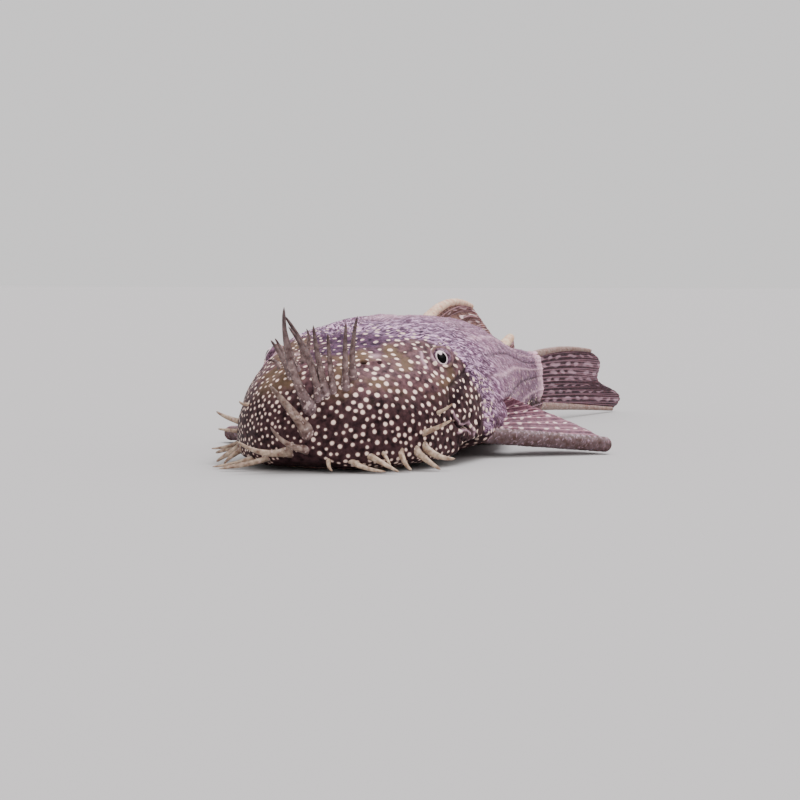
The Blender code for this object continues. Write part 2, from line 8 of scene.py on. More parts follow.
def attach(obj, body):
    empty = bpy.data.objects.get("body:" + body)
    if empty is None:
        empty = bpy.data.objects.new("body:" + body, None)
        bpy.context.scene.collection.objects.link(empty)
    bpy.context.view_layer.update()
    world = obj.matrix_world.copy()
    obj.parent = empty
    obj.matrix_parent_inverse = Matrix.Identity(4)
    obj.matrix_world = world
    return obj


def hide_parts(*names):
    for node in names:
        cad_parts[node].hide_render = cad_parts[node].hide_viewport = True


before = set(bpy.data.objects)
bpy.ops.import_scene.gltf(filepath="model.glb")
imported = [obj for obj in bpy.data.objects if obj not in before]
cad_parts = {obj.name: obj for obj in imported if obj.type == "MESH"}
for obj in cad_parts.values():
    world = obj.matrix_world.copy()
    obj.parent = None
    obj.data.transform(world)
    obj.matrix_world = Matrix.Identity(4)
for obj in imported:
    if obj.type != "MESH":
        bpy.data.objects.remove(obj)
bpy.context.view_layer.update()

# The studio: a plain pale floor under two broad soft lights and an even white sky, with a low
# camera in front of the fish's left cheek that looks down a little. The fish lies on its belly.
camera_place = Vector((-0.30222, -0.10933, 0.02690))
camera_yaw, camera_pitch = math.radians(20.558), math.radians(-3.540)
looking = Vector((
    math.cos(camera_yaw) * math.cos(camera_pitch),
    math.sin(camera_yaw) * math.cos(camera_pitch),
    math.sin(camera_pitch),
))
camera = bpy.data.objects.new("camera", bpy.data.cameras.new("camera"))
camera.data.lens = 93.35
camera.data.sensor_width = 36.0
camera.data.clip_start, camera.data.clip_end = 0.01, 20.0
camera.location = camera_place
camera.rotation_euler = looking.to_track_quat("-Z", "Y").to_euler()
bpy.context.scene.collection.objects.link(camera)
bpy.context.scene.camera = camera

floor_mesh = bpy.data.meshes.new("floor")
floor_mesh.from_pydata([(-3, -3, 0), (3, -3, 0), (3, 3, 0), (-3, 3, 0)], [], [(0, 1, 2, 3)])
floor = bpy.data.objects.new("floor", floor_mesh)
bpy.context.scene.collection.objects.link(floor)
paper = bpy.data.materials.new("pale_paper")
paper.use_nodes = True
paper_shader = paper.node_tree.nodes["Principled BSDF"]
paper_shader.inputs["Base Color"].default_value = (0.415, 0.408, 0.408, 1.0)
paper_shader.inputs["Roughness"].default_value = 0.9
floor_mesh.materials.append(paper)


def soft_light(name, azimuth, elevation, softness, strength, colour):
    """Broad light from far away: degrees round from the fish's head, degrees up, degrees across."""
    lamp = bpy.data.lights.new(name, "SUN")
    lamp.angle = math.radians(softness)
    lamp.energy = strength
    lamp.color = colour
    around, up = math.radians(azimuth), math.radians(elevation)
    toward = Vector((-math.cos(around) * math.cos(up), -math.sin(around) * math.cos(up), math.sin(up)))
    hung = bpy.data.objects.new(name, lamp)
    hung.location = toward * 0.5
    hung.rotation_euler = toward.to_track_quat("Z", "Y").to_euler()
    bpy.context.scene.collection.objects.link(hung)


soft_light("top_light", 150.0, 68.0, 35.0, 3.9, (1.0, 0.97, 1.0))
soft_light("front_light", 45.0, 40.0, 35.0, 1.1, (1.0, 0.97, 0.95))
world = bpy.data.worlds.new("studio")
world.use_nodes = True
world.node_tree.nodes["Background"].inputs["Color"].default_value = (1.0, 0.98, 0.98, 1.0)
world.node_tree.nodes["Background"].inputs["Strength"].default_value = 0.97
bpy.context.scene.world = world

# The body: head, trunk and tail stalk under one unbroken skin. The head is naked and spotted in
# front, rough over the skull; behind it five rows of bony plates a side overlap like roof tiles.
# The skin is one mesh over the body's stations, with its plates, folds and pits raised in it.
STANDARD_LENGTH = 0.100
BELLY_PLACE = 0.48
# Stations from the snout to the tail fin's root, in shares of the standard length.
PLACE = np.array((0.00, 0.08, 0.16, 0.24, 0.33, 0.45, 0.58, 0.72, 0.86, 1.00))
HALF_WIDTH = np.array((0.158, 0.162, 0.165, 0.167, 0.170, 0.150, 0.118, 0.082, 0.048, 0.017))
BACK_HEIGHT = np.array((0.112, 0.147, 0.173, 0.194, 0.203, 0.200, 0.190, 0.163, 0.136, 0.126))
WIDEST_HEIGHT = np.array((0.032, 0.032, 0.033, 0.036, 0.042, 0.052, 0.060, 0.068, 0.072, 0.072))
UNDERSIDE = np.array((0.004, 0.004, 0.004, 0.004, 0.004, 0.000, 0.000, 0.010, 0.022, 0.021))
BACK_SQUARENESS = np.array((2.30, 2.40, 2.60, 2.80, 2.50, 2.20, 2.20, 2.30, 2.40, 2.40))
UNDERSIDE_SQUARENESS = np.array((3.20, 3.20, 3.20, 2.90, 1.80, 2.20, 2.80, 3.20, 3.20, 3.20))
UNDERSIDE_TRIM = 0.003
SNOUT_ROUND_LENGTH, SNOUT_SQUARENESS = 0.24, 2.35
NOSE_ROUND_LENGTH = 0.055
BEND_START, BEND_ANGLE = 0.55, math.radians(5.0)
PLATE_ROW_EDGES = np.array((0.0, 27.0, 54.0, 81.0, 108.0, 136.0))
PLATE_ROW_SHIFT = np.array((0.0, 0.12, 0.30, 0.18, 0.05, 0.0))
PLATE_PITCH = 0.0267
PLATE_START = 0.352
PLATE_STEP = 0.42  # millimetres
PLATE_CREST = 0.93  # share of its length at which a plate is highest
PLATE_SCALLOP = 0.28  # share of its length that a plate's middle reaches behind its corners
DEGREE_WIDTH = 0.14  # millimetres round the body in one degree, roughly
GRANULE_WIDTH, GRANULE_LENGTH = 0.42, 0.62  # millimetres
EYE_PLACE, EYE_DEGREES, EYE_RADIUS, EYE_SINK = 0.197, 45.4, 0.0017, 0.0006
coarse = 1


def station(values, at):
    """Cubic through the body's stations that doesn't overshoot between them."""
    step = np.diff(PLACE)
    slope = np.diff(values) / step
    both = slope[:-1] * slope[1:]
    tangent = np.concatenate((slope[:1], np.zeros(len(slope) - 1), slope[-1:]))
    same_way = both > 0
    tangent[1:-1][same_way] = (2 * both / np.where(same_way, slope[:-1] + slope[1:], 1.0))[same_way]
    k = np.clip(np.searchsorted(PLACE, at) - 1, 0, len(step) - 1)
    t = (at - PLACE[k]) / step[k]
    return (
        values[k] * (1 + 2 * t) * (1 - t) ** 2
        + tangent[k] * step[k] * t * (1 - t) ** 2
        + values[k + 1] * t * t * (3 - 2 * t)
        + tangent[k + 1] * step[k] * t * t * (t - 1)
    )


def rounding(place, length, squareness):
    """Share of the full size that a rounded end has reached at this place."""
    short = np.clip(1 - place / length, 0.0, 1.0)
    return (1 - short**squareness) ** (1 / squareness)


def on_fish(place, side, height):
    """Points, in metres, for places on the fish: along it, towards its left, and above the floor."""
    radius = (1 - BEND_START) / BEND_ANGLE
    angle = np.maximum(place - BEND_START, 0.0) / radius
    x = np.minimum(place, BEND_START) - BELLY_PLACE + radius * np.sin(angle)
    y = -radius * (1 - np.cos(angle))
    return STANDARD_LENGTH * np.stack(
        np.broadcast_arrays(x - side * np.sin(angle), y - side * np.cos(angle), height), -1
    )


def section(place, degrees):
    """How far to the left and how high the plain body is, degrees from the top of the back."""
    nose = rounding(place, NOSE_ROUND_LENGTH, 2.0)
    width = station(HALF_WIDTH, place) * rounding(place, SNOUT_ROUND_LENGTH, SNOUT_SQUARENESS)
    widest = station(WIDEST_HEIGHT, place)
    back = widest + (station(BACK_HEIGHT, place) - widest) * nose
    under = widest - (widest - station(UNDERSIDE, place)) * nose
    across, up = np.sin(np.radians(degrees)), np.cos(np.radians(degrees))
    above = up >= 0
    power = np.where(above, 2 / station(BACK_SQUARENESS, place), 2 / station(UNDERSIDE_SQUARENESS, place))
    reach = np.abs(up) ** power
    below = np.maximum(under, widest - (widest - under + UNDERSIDE_TRIM * nose) * reach)
    height = np.where(above, widest + (back - widest) * reach, below)
    return np.copysign(width * np.abs(across) ** power, across), height


def body_point(place, degrees):
    place, degrees = np.broadcast_arrays(np.asarray(place, float), np.asarray(degrees, float))
    return on_fish(place, *section(place, degrees))


def unit(vectors):
    return vectors / np.maximum(np.linalg.norm(vectors, axis=-1, keepdims=True), 1e-12)


def body_normal(place, degrees):
    place = np.asarray(place, float)
    along = body_point(place + 0.004, degrees) - body_point(np.maximum(place - 0.004, 0.0), degrees)
    around = body_point(place, np.asarray(degrees) + 2) - body_point(place, np.asarray(degrees) - 2)
    return unit(np.cross(around, along))


def ramp(value, low, high):
    """Smooth step from 0 at low to 1 at high."""
    t = np.clip((value - low) / (high - low), 0.0, 1.0)
    return t * t * (3 - 2 * t)


def fall(value, low, high):
    """Smooth step from 1 at low to 0 at high."""
    return ramp(-value, -high, -low)


def hump(value, width):
    """Smooth hump, 1 where the value is 0."""
    return np.exp(-((value / width) ** 2))


def wave_field(points, size, seed):
    """Gentle random unevenness between about -1 and 1, its swells about this size across."""
    waves = 14
    draw = np.random.default_rng(seed)
    total = np.zeros(points.shape[:-1])
    for _ in range(waves):
        way = unit(draw.normal(size=3)) * draw.uniform(0.6, 1.5) * 2 * math.pi / size
        total += np.sin(points @ way + draw.uniform(0, 2 * math.pi))
    return total / math.sqrt(waves)


def path_distance(points, path):
    """Distance of each point from a line of straight pieces."""
    nearest = np.full(points.shape[:-1], 1e9)
    for a, b in zip(path[:-1], path[1:]):
        a, b = np.array(a), np.array(b)
        t = np.clip(((points - a) @ (b - a)) / ((b - a) @ (b - a)), 0.0, 1.0)
        nearest = np.minimum(nearest, np.linalg.norm(points - a - t[..., None] * (b - a), axis=-1))
    return nearest


# Features of the cheek, in millimetres: the line that each follows, along the fish, out from its
# middle and above the floor; then how broad it is, and how far it stands up or, negative, lies in.
CHEEK_FEATURES = {
    "gap": (
        ((23.8, 15.2, 13.0), (20.1, 15.1, 12.0), (17.2, 14.9, 10.9), (16.7, 15.3, 9.6), (16.2, 15.6, 8.2)),
        0.36, -0.32,
    ),
    "slit": (
        ((16.0, 15.6, 7.2), (16.3, 15.9, 6.2), (17.4, 16.1, 5.4), (18.8, 16.3, 5.2), (20.6, 16.5, 5.4)),
        0.22, -0.80,
    ),
    "lip": (
        ((16.5, 15.8, 7.7), (16.7, 16.0, 6.7), (17.5, 16.2, 5.9), (19.0, 16.4, 5.6), (20.5, 16.5, 5.8)),
        0.14, 0.09,
    ),
    # The sunken patch behind the cheek's fold also darkens the skin's colour, as painted shade.
    "shaded_recess": (((23.7, 15.6, 12.3), (21.3, 15.6, 11.3), (19.0, 15.6, 10.2), (17.3, 15.7, 8.8)), 1.15, -0.16),
    "fold": (((20.5, 16.5, 5.9), (21.6, 16.6, 5.2), (23.0, 16.7, 4.4), (22.2, 16.6, 3.8)), 0.20, 0.22),
    "upper_lobe": (((17.9, 16.0, 7.4), (20.0, 16.4, 6.9)), 0.95, 0.42),
    "lower_lobe": (((17.6, 16.1, 4.3), (20.0, 16.4, 4.2)), 0.75, 0.34),
    "lobe_rim": (((16.9, 16.1, 4.6), (17.8, 16.2, 5.0), (19.5, 16.4, 4.9), (21.3, 16.6, 4.3)), 0.13, 0.07),
    "crescent": (((18.0, 16.3, 3.8), (19.2, 16.4, 3.2), (20.5, 16.5, 3.8)), 0.24, -0.50),
    "front_eye_fold": (((17.4, 10.6, 15.7), (15.8, 11.3, 14.7), (15.2, 12.3, 13.6)), 0.22, 0.16),
    "rear_eye_fold": (((19.3, 11.4, 15.9), (17.7, 12.0, 14.9), (17.4, 12.8, 14.1)), 0.22, 0.16),
}
GILL_PORE, GILL_PORE_RIM = (24.0, 16.7, 5.6), 0.66
NOSTRIL_FLAP = (9.5, 6.4, 14.5)
NOSE_PATCH = (11.6, 6.0, 15.5)
NOSTRILS = ((0.088, 19.0, 0.50), (0.100, 26.0, 0.34))  # place, degrees and radius in millimetres
# Where the pale rough crown ends, place and degrees.
CROWN_EDGE = (
    (0.00, -14.0), (0.07, -8.0), (0.13, 12.0), (0.18, 20.0), (0.20, 30.0), (0.225, 44.0), (0.236, 55.0),
    (0.244, 66.0), (0.255, 78.0), (0.27, 85.0), (0.31, 91.0), (0.40, 102.0), (1.0, 108.0),
)
LEFT_GAZE_FORWARD, RIGHT_GAZE_FORWARD = 1.00, 0.10


def eye_seat(left):
    """Middle of an eyeball, the way the eye looks and the way its opening faces; left is 1 or -1."""
    out = body_normal(EYE_PLACE, EYE_DEGREES * left)
    centre = body_point(EYE_PLACE, EYE_DEGREES * left) - out * EYE_SINK
    forward = np.array((-1.0, 0.0, 0.0))
    turned = LEFT_GAZE_FORWARD if left > 0 else RIGHT_GAZE_FORWARD
    gaze = unit(out + turned * forward + np.array((0.0, -0.15 * left, -0.30)))
    lid = unit(out + 0.42 * forward + np.array((0.0, -0.10 * left, -0.10)))
    return centre, gaze, lid


def dressed_skin(place, degrees):
    """The skin's points over a grid of places, and the marks on it that its colours come from."""
    plain = body_point(place, degrees)
    normal = body_normal(place, degrees)
    place, degrees = np.broadcast_arrays(place, degrees)
    side, height = section(place, degrees)
    turn = np.minimum(degrees, 360 - degrees)
    folded = np.stack((place, np.abs(side), height), -1) * 100  # both sides alike, millimetres
    step = np.linalg.norm(np.diff(plain, axis=1, prepend=plain[:, -1:]), axis=-1)
    step[:, 0] = 0.0
    arc = np.cumsum(step, axis=1) * 1000
    girth = np.where(degrees <= 180, arc, arc[:, -1:] - arc)
    along = place * 100

    # The plates: each rises towards its rear edge and is granular. All but the top row are keeled.
    row = np.clip(np.searchsorted(PLATE_ROW_EDGES, turn, side="right") - 1, 0, 5)
    wide = np.append(np.diff(PLATE_ROW_EDGES), 180.0 - PLATE_ROW_EDGES[-1])[row]
    across = np.clip((turn - PLATE_ROW_EDGES[row]) / wide, 0.0, 1.0)
    bulge = 4 * across * (1 - across)
    plated = ramp(place, 0.30, 0.37) * fall(turn, 132.0, 140.0)
    phase = (place - PLATE_START) / PLATE_PITCH - PLATE_SCALLOP * bulge + PLATE_ROW_SHIFT[row]
    phase += 0.018 * np.sin(girth * 2 * math.pi / 0.5)
    share = phase - np.floor(phase)
    tile = np.where(share < PLATE_CREST, share / PLATE_CREST, (1 - share) / (1 - PLATE_CREST))
    plate_edge = hump(share - PLATE_CREST, 0.05) + hump(share - 1 - PLATE_CREST, 0.05)
    seam = hump(np.minimum(across, 1 - across) * wide * DEGREE_WIDTH, 0.16)
    keel = hump((across - 0.5) * wide * DEGREE_WIDTH, 0.22) * (row > 0)
    stagger = np.floor(girth / GRANULE_WIDTH) * 0.38
    granule = 0.6 + 0.4 * np.cos(2 * math.pi * (along / GRANULE_LENGTH + stagger))
    granule = granule * np.cos(girth * 2 * math.pi / GRANULE_WIDTH)
    relief = plated * (
        PLATE_STEP * (tile - 0.35) * np.minimum(1.0, 1.6 * bulge)
        + 0.16 * keel * (0.4 + 0.6 * tile) - 0.14 * seam + 0.035 * granule
    )

    # The skull is rough, and the whole back is a little uneven.
    skull = ramp(place, 0.06, 0.16) * fall(place, 0.31, 0.37) * fall(turn, 30.0, 80.0)
    relief += skull * (0.06 * wave_field(plain, 0.0022, 3) + 0.03 * granule)
    relief += 0.10 * wave_field(plain, 0.006, 4) * fall(turn, 100.0, 130.0)

    # The cheek, the gill opening and the hollow of the throat.
    shown = {}
    for feature, (path, breadth, rise) in CHEEK_FEATURES.items():
        shown[feature] = hump(path_distance(folded, path), breadth)
        relief += rise * shown[feature]
    eye_folds = shown["front_eye_fold"] + shown["rear_eye_fold"]
    pore = np.linalg.norm(folded - np.array(GILL_PORE), axis=-1)
    relief += 0.24 * hump(pore - GILL_PORE_RIM, 0.20) - 0.60 * hump(pore, 0.34)
    throat = ramp(place, 0.170, 0.190) * fall(place, 0.255, 0.300)
    throat = throat * ramp(turn, 89.0, 97.0) * fall(turn, 120.0, 150.0)
    relief -= 1.9 * throat
    relief += 0.14 * wave_field(plain, 0.0022, 6) * ramp(turn, 66.0, 76.0) * hump(place - 0.20, 0.045)
    # Painted shade: the skin's colour is darkened in the slit, the gap, the crescent, the gill pore, the
    # sunken throat and along the plates' seams and edges.
    hollow_shade = 1.1 * shown["slit"] + 0.65 * shown["gap"] + shown["crescent"] + hump(pore, 0.40) + 1.2 * throat
    hollow_shade = hollow_shade + plated * (0.25 * seam + 0.35 * plate_edge)

    # The nostrils, with a flap of skin between them and a pale patch behind.
    relief += 0.30 * hump(np.linalg.norm(folded - np.array(NOSTRIL_FLAP), axis=-1), 0.30)
    from_patch = np.linalg.norm(folded - np.array(NOSE_PATCH), axis=-1)
    patch = hump(from_patch + 0.2 * wave_field(plain, 0.0015, 8), 0.75)
    for pit_place, pit_degrees, radius in NOSTRILS:
        pit_side, pit_height = section(np.array(pit_place), np.array(pit_degrees))
        away = np.linalg.norm(folded - 100 * np.array((pit_place, pit_side, pit_height)), axis=-1)
        relief += 0.16 * hump(away - radius * 1.35, 0.22) - 0.55 * fall(away, radius * 0.4, radius * 1.1)
        # Painted shade in the nostril's pit.
        hollow_shade = hollow_shade + 1.2 * fall(away, radius * 0.6, radius)

    # The skin is drawn over each eyeball, up to a raised rim round its opening.
    skin = plain + normal * (relief / 1000)[..., None]
    orbit = np.zeros(turn.shape)
    for left in (1, -1):
        centre, _, lid = eye_seat(left)
        out = skin - centre
        away = np.linalg.norm(out, axis=-1) * 1000
        facing = (out * lid).sum(-1) / np.maximum(away / 1000, 1e-9)
        tilt = np.degrees(np.arccos(np.clip(facing, -1.0, 1.0)))
        lid_height = 1.28 + 0.74 * ramp(tilt, 46.0, 56.0) - 0.10 * ramp(tilt, 60.0, 84.0)
        near = fall(away, 2.1, 2.9) * fall(tilt, 80.0, 112.0)
        skin = skin + out * (near * (lid_height / np.maximum(away, 0.2) - 1))[..., None]
        orbit += hump(tilt - 58.0, 7.0) * near
        # Painted shade inside the eye's opening and in a ring round the orbit.
        hollow_shade = hollow_shade + 0.7 * fall(tilt, 44.0, 52.0) * near
        hollow_shade = hollow_shade + 0.45 * hump(away - 2.75, 0.35) * fall(tilt, 95.0, 115.0)

    edge = np.interp(place, *zip(*CROWN_EDGE)) + 6 * wave_field(plain, 0.006, 5)
    head = fall(place, 0.22, 0.30)
    # Painted highlight: a pale line along the back's crest behind the skull.
    nape_highlight = hump(turn, 6.0) * ramp(place, 0.26, 0.32) * fall(place, 0.44, 0.50)
    pale_ridge_and_highlight = 0.7 * keel * plated + 0.15 * orbit + eye_folds + 0.7 * patch + 0.7 * nape_highlight
    pale_ridge_and_highlight = pale_ridge_and_highlight + shown["fold"] + shown["lobe_rim"] + shown["lip"]
    marks = {
        "along": along,
        "girth": girth,
        "brow": ramp(height, 0.085, 0.125) * fall(place, 0.22, 0.34),
        "rear": ramp(place, 0.20, 0.42),
        "crown": ramp(edge - turn, -7.0, 9.0),
        "belly": ramp(turn, 118.0 + 30.0 * head, 140.0 + 20.0 * head) * ramp(place, 0.03, 0.09),
        "hollow_shade": np.clip(hollow_shade, 0.0, 1.5),
        "shaded_recess": shown["shaded_recess"],
        "tile": tile * plated,
        "plate_edge": np.clip(plated * (plate_edge + 0.6 * seam), 0.0, 1.0),
        "pale_ridge_and_highlight": np.clip(pale_ridge_and_highlight, 0.0, 1.0),
    }
    return skin, marks


def grid_faces(rows, columns, wrap=False, first=0):
    """Quads between the points of a grid, row after row."""
    r, c = np.meshgrid(np.arange(rows - 1), np.arange(columns if wrap else columns - 1), indexing="ij")
    n = (c + 1) % columns
    corners = (r * columns + c, r * columns + n, (r + 1) * columns + n, (r + 1) * columns + c)
    return np.stack(corners, -1).reshape(-1, 4) + first


def make_piece(name, points, faces, finish, marks=None):
    """Smooth mesh piece with its finish, and a number at each point for every mark."""
    mesh = bpy.data.meshes.new(name)
    mesh.from_pydata(np.asarray(points, float).reshape(-1, 3), [], faces)
    mesh.shade_smooth()
    mesh.materials.append(finish)
    for mark, values in (marks or {}).items():
        written = mesh.attributes.new(mark, "FLOAT", "POINT")
        written.data.foreach_set("value", np.asarray(values, np.float32).ravel())
    made = bpy.data.objects.new(name, mesh)
    bpy.context.scene.collection.objects.link(made)
    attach(made, "root")
    return made


# Pale spots lie over the head, back and flanks, each clear of the next. The belly has none.
SPOT_TRIES = 60000
SPOT_SPACING, SPOT_RADIUS = 1.06, 0.268  # millimetres, on the side of the head
SPOT_LIMIT = 150  # degrees from the top of the back
SPOT_CELL = 0.002


def spot_centres():
    """Seeded spots as points on the skin, with each one's radius and strength."""
    draw = np.random.default_rng(11)
    place = draw.uniform(0.0, 1.0, SPOT_TRIES) ** 1.25
    degrees = draw.uniform(0.0, 360.0, SPOT_TRIES)
    points = body_point(place, degrees)
    turn = np.minimum(degrees, 360 - degrees)
    height = points[:, 2] * 1000
    low_front = fall(height, 5.5, 10.0) * fall(place, 0.12, 0.20)
    right_front = np.where(degrees < 180, 0.0, 1.0) * fall(place, 0.10, 0.30)
    brow = ramp(height, 10.5, 13.0) * fall(place, 0.24, 0.33)
    shaded_recess = hump(place - 0.195, 0.020) * hump(turn - 70.0, 9.0)
    spacing = SPOT_SPACING - 0.14 * low_front - 0.20 * right_front + 0.16 * brow
    spacing = spacing + 0.55 * ramp(place, 0.30, 0.5) - 0.25 * shaded_recess
    radius = SPOT_RADIUS - 0.045 * low_front - 0.065 * right_front + 0.02 * brow - 0.08 * shaded_recess
    on_crown = ramp(np.interp(place, *zip(*CROWN_EDGE)) - turn, -4.0, 10.0)
    strength = 1.0 - 0.25 * on_crown - 0.75 * on_crown * ramp(place, 0.20, 0.26) * fall(turn, 58.0, 70.0)
    strength -= 0.75 * on_crown * ramp(place, 0.29, 0.33) * fall(place, 0.38, 0.46)
    strength -= 0.45 * on_crown * ramp(place, 0.38, 0.46)
    spacing *= draw.uniform(0.86, 1.22, SPOT_TRIES)
    radius *= draw.uniform(0.72, 1.32, SPOT_TRIES)
    kept, cells = [], {}
    for k in range(SPOT_TRIES):
        if turn[k] > SPOT_LIMIT:
            continue
        cell = tuple(int(v) for v in points[k] // SPOT_CELL)
        near = (
            other
            for i in (-1, 0, 1) for j in (-1, 0, 1) for m in (-1, 0, 1)
            for other in cells.get((cell[0] + i, cell[1] + j, cell[2] + m), ())
        )
        clear = (0.001 * spacing[k]) ** 2
        if all(((points[k] - points[o]) ** 2).sum() > clear for o in near):
            cells.setdefault(cell, []).append(k)
            kept.append(k)
    return points[kept], radius[kept], np.clip(strength[kept], 0.0, 1.0)


spot_points, spot_radii, spot_strengths = spot_centres()
spot_finder = kdtree.KDTree(len(spot_points))
for k, point in enumerate(spot_points):
    spot_finder.insert(point, k)
spot_finder.balance()

# The rings crowd towards the snout's tip, and the slimmer rear has only every second column.
SNOUT_RINGS, HEAD_RINGS, REAR_RINGS, FRONT_COLUMNS = (n // coarse for n in (180, 225, 220, 720))
FIRST_RING_TURN = 0.0042
REAR_START = 0.62
snout_turn = np.linspace(FIRST_RING_TURN, math.pi / 2, SNOUT_RINGS)
front_places = np.concatenate((
    SNOUT_ROUND_LENGTH * (1 - np.cos(snout_turn)),
    np.linspace(SNOUT_ROUND_LENGTH, REAR_START, HEAD_RINGS)[1:],
))
rear_places = np.linspace(REAR_START, 1.0, REAR_RINGS)[1:]
front_degrees = np.arange(FRONT_COLUMNS) * 360 / FRONT_COLUMNS
rear_degrees = front_degrees[::2]
front_skin, front_marks = dressed_skin(front_places[:, None], front_degrees[None])
rear_skin, rear_marks = dressed_skin(rear_places[:, None], rear_degrees[None])
skin_points = np.concatenate((front_skin.reshape(-1, 3), rear_skin.reshape(-1, 3)))
skin_marks = {m: np.concatenate((front_marks[m].ravel(), rear_marks[m].ravel())) for m in front_marks}
front_count, rear_columns = front_skin.size // 3, len(rear_degrees)
skin_faces = grid_faces(len(front_places), FRONT_COLUMNS, wrap=True).tolist()
skin_faces += grid_faces(len(rear_places), rear_columns, wrap=True, first=front_count).tolist()
last_front = front_count - FRONT_COLUMNS
for k in range(rear_columns):
    a, b, c = (last_front + (2 * k + step) % FRONT_COLUMNS for step in (0, 1, 2))
    d, e = front_count + k, front_count + (k + 1) % rear_columns
    skin_faces += [(a, b, d), (b, e, d), (b, c, e)]
skin_faces.append(tuple(reversed(range(FRONT_COLUMNS))))
skin_faces.append(tuple(range(len(skin_points) - rear_columns, len(skin_points))))

plain_points = np.concatenate((
    body_point(front_places[:, None], front_degrees[None]).reshape(-1, 3),
    body_point(rear_places[:, None], rear_degrees[None]).reshape(-1, 3),
))
FAR_FROM_SPOTS = -0.6
spot_reach = np.empty(len(plain_points))
spot_strength = np.empty(len(plain_points))
for k, point in enumerate(plain_points):
    _, nearest, away = spot_finder.find(point)
    spot_reach[k] = max(FAR_FROM_SPOTS, spot_radii[nearest] - away * 1000)
    spot_strength[k] = spot_strengths[nearest]
skin_marks["spot_reach"] = spot_reach
skin_marks["spot_strength"] = spot_strength


def new_finish(name, **fixed):
    """Material whose shader has these fixed numbers, with its node tree and shader."""
    made = bpy.data.materials.new(name)
    made.use_nodes = True
    shader = made.node_tree.nodes["Principled BSDF"]
    for key, value in fixed.items():
        shader.inputs[key.replace("_", " ")].default_value = value
    return made, made.node_tree, shader


def put(tree, kind, inputs, output=0, **settings):
    """New node, its inputs numbers, colours or sockets; gives back one of its outputs."""
    node = tree.nodes.new(kind)
    for key, value in settings.items():
        setattr(node, key, value)
    for key, value in inputs.items():
        if isinstance(value, bpy.types.NodeSocket):
            tree.links.new(value, node.inputs[key])
        else:
            node.inputs[key].default_value = value
    return node.outputs[output]


def mark_of(tree, name):
    return put(tree, "ShaderNodeAttribute", {}, output="Fac", attribute_name=name)


def calc(tree, operation, a, b=0.0):
    return put(tree, "ShaderNodeMath", {0: a, 1: b}, operation=operation)


def times(tree, a, b):
    return calc(tree, "MULTIPLY", a, b)


def stretch(tree, value, low, high, to_low=0.0, to_high=1.0):
    """The value taken from one range to another, and held at its ends."""
    return put(tree, "ShaderNodeMapRange", {0: value, 1: low, 2: high, 3: to_low, 4: to_high})


def blend(tree, share, first, second):
    return put(tree, "ShaderNodeMix", {0: share, 6: first, 7: second}, output=2, data_type="RGBA")


def grain(tree, size, detail=3.0, coords=None, distortion=0.0):
    """Noise whose lumps are about this many millimetres across."""
    inputs = {"Scale": 1000.0 / size if coords is None else 1.0 / size, "Detail": detail}
    inputs["Distortion"] = distortion
    inputs["Vector"] = coords or put(tree, "ShaderNodeTexCoord", {}, output="Object")
    return put(tree, "ShaderNodeTexNoise", inputs)


def rgb(red, green, blue):
    """A colour given as it looks on screen, 0 to 255."""
    linear = [(v / 255 / 12.92 if v < 10 else ((v / 255 + 0.055) / 1.055) ** 2.4) for v in (red, green, blue)]
    return (*linear, 1.0)


def bumpy(tree, shader, height, strength, distance):
    normal = put(
        tree, "ShaderNodeBump", {"Strength": strength, "Distance": distance, "Height": height},
        output="Normal",
    )
    tree.links.new(normal, shader.inputs["Normal"])


skin_finish, tree, shader = new_finish(
    "spotted_skin", Subsurface_Weight=0.04, Subsurface_Scale=0.0012, Specular_IOR_Level=0.06,
)
along, girth = mark_of(tree, "along"), mark_of(tree, "girth")
crown, hollow_shade, rear = (mark_of(tree, m) for m in ("crown", "hollow_shade", "rear"))
fine, mottle, clouds = grain(tree, 0.14), grain(tree, 0.9, 4.0), grain(tree, 4.5)
mottled = stretch(tree, mottle, 0.32, 0.68)

# Pale streaks that run back and down over the crown, and thin worm-like lines between them.
slant = calc(tree, "SUBTRACT", girth, times(tree, along, 0.38))
streak_flow = put(tree, "ShaderNodeCombineXYZ", {0: times(tree, along, 0.30), 1: slant})
streak = stretch(tree, grain(tree, 0.50, 1.0, coords=streak_flow, distortion=0.8), 0.53, 0.66)
worms = grain(tree, 0.72, 1.0, coords=streak_flow, distortion=0.6)
from_middle = calc(tree, "ABSOLUTE", calc(tree, "ADD", worms, -0.5))
line = calc(tree, "MAXIMUM", stretch(tree, from_middle, 0.0, 0.06, 0.60, 0.0), streak)

# The dark naked head, browner on its brow, with a paler halo round each spot.
reach = calc(tree, "ADD", mark_of(tree, "spot_reach"), stretch(tree, mottle, 0.2, 0.8, -0.09, 0.09))
spot = times(tree, stretch(tree, reach, -0.08, 0.08), mark_of(tree, "spot_strength"))
dark = blend(tree, mottled, rgb(26, 14, 17), rgb(74, 50, 53))
brown = blend(tree, mottled, rgb(50, 30, 36), rgb(116, 84, 88))
brown = blend(tree, stretch(tree, clouds, 0.48, 0.60, 0.0, 0.75), brown, rgb(102, 82, 60))
dark = blend(tree, mark_of(tree, "brow"), dark, brown)
dark = blend(tree, stretch(tree, reach, -0.24, -0.02, 0.0, 0.30), dark, rgb(124, 92, 94))

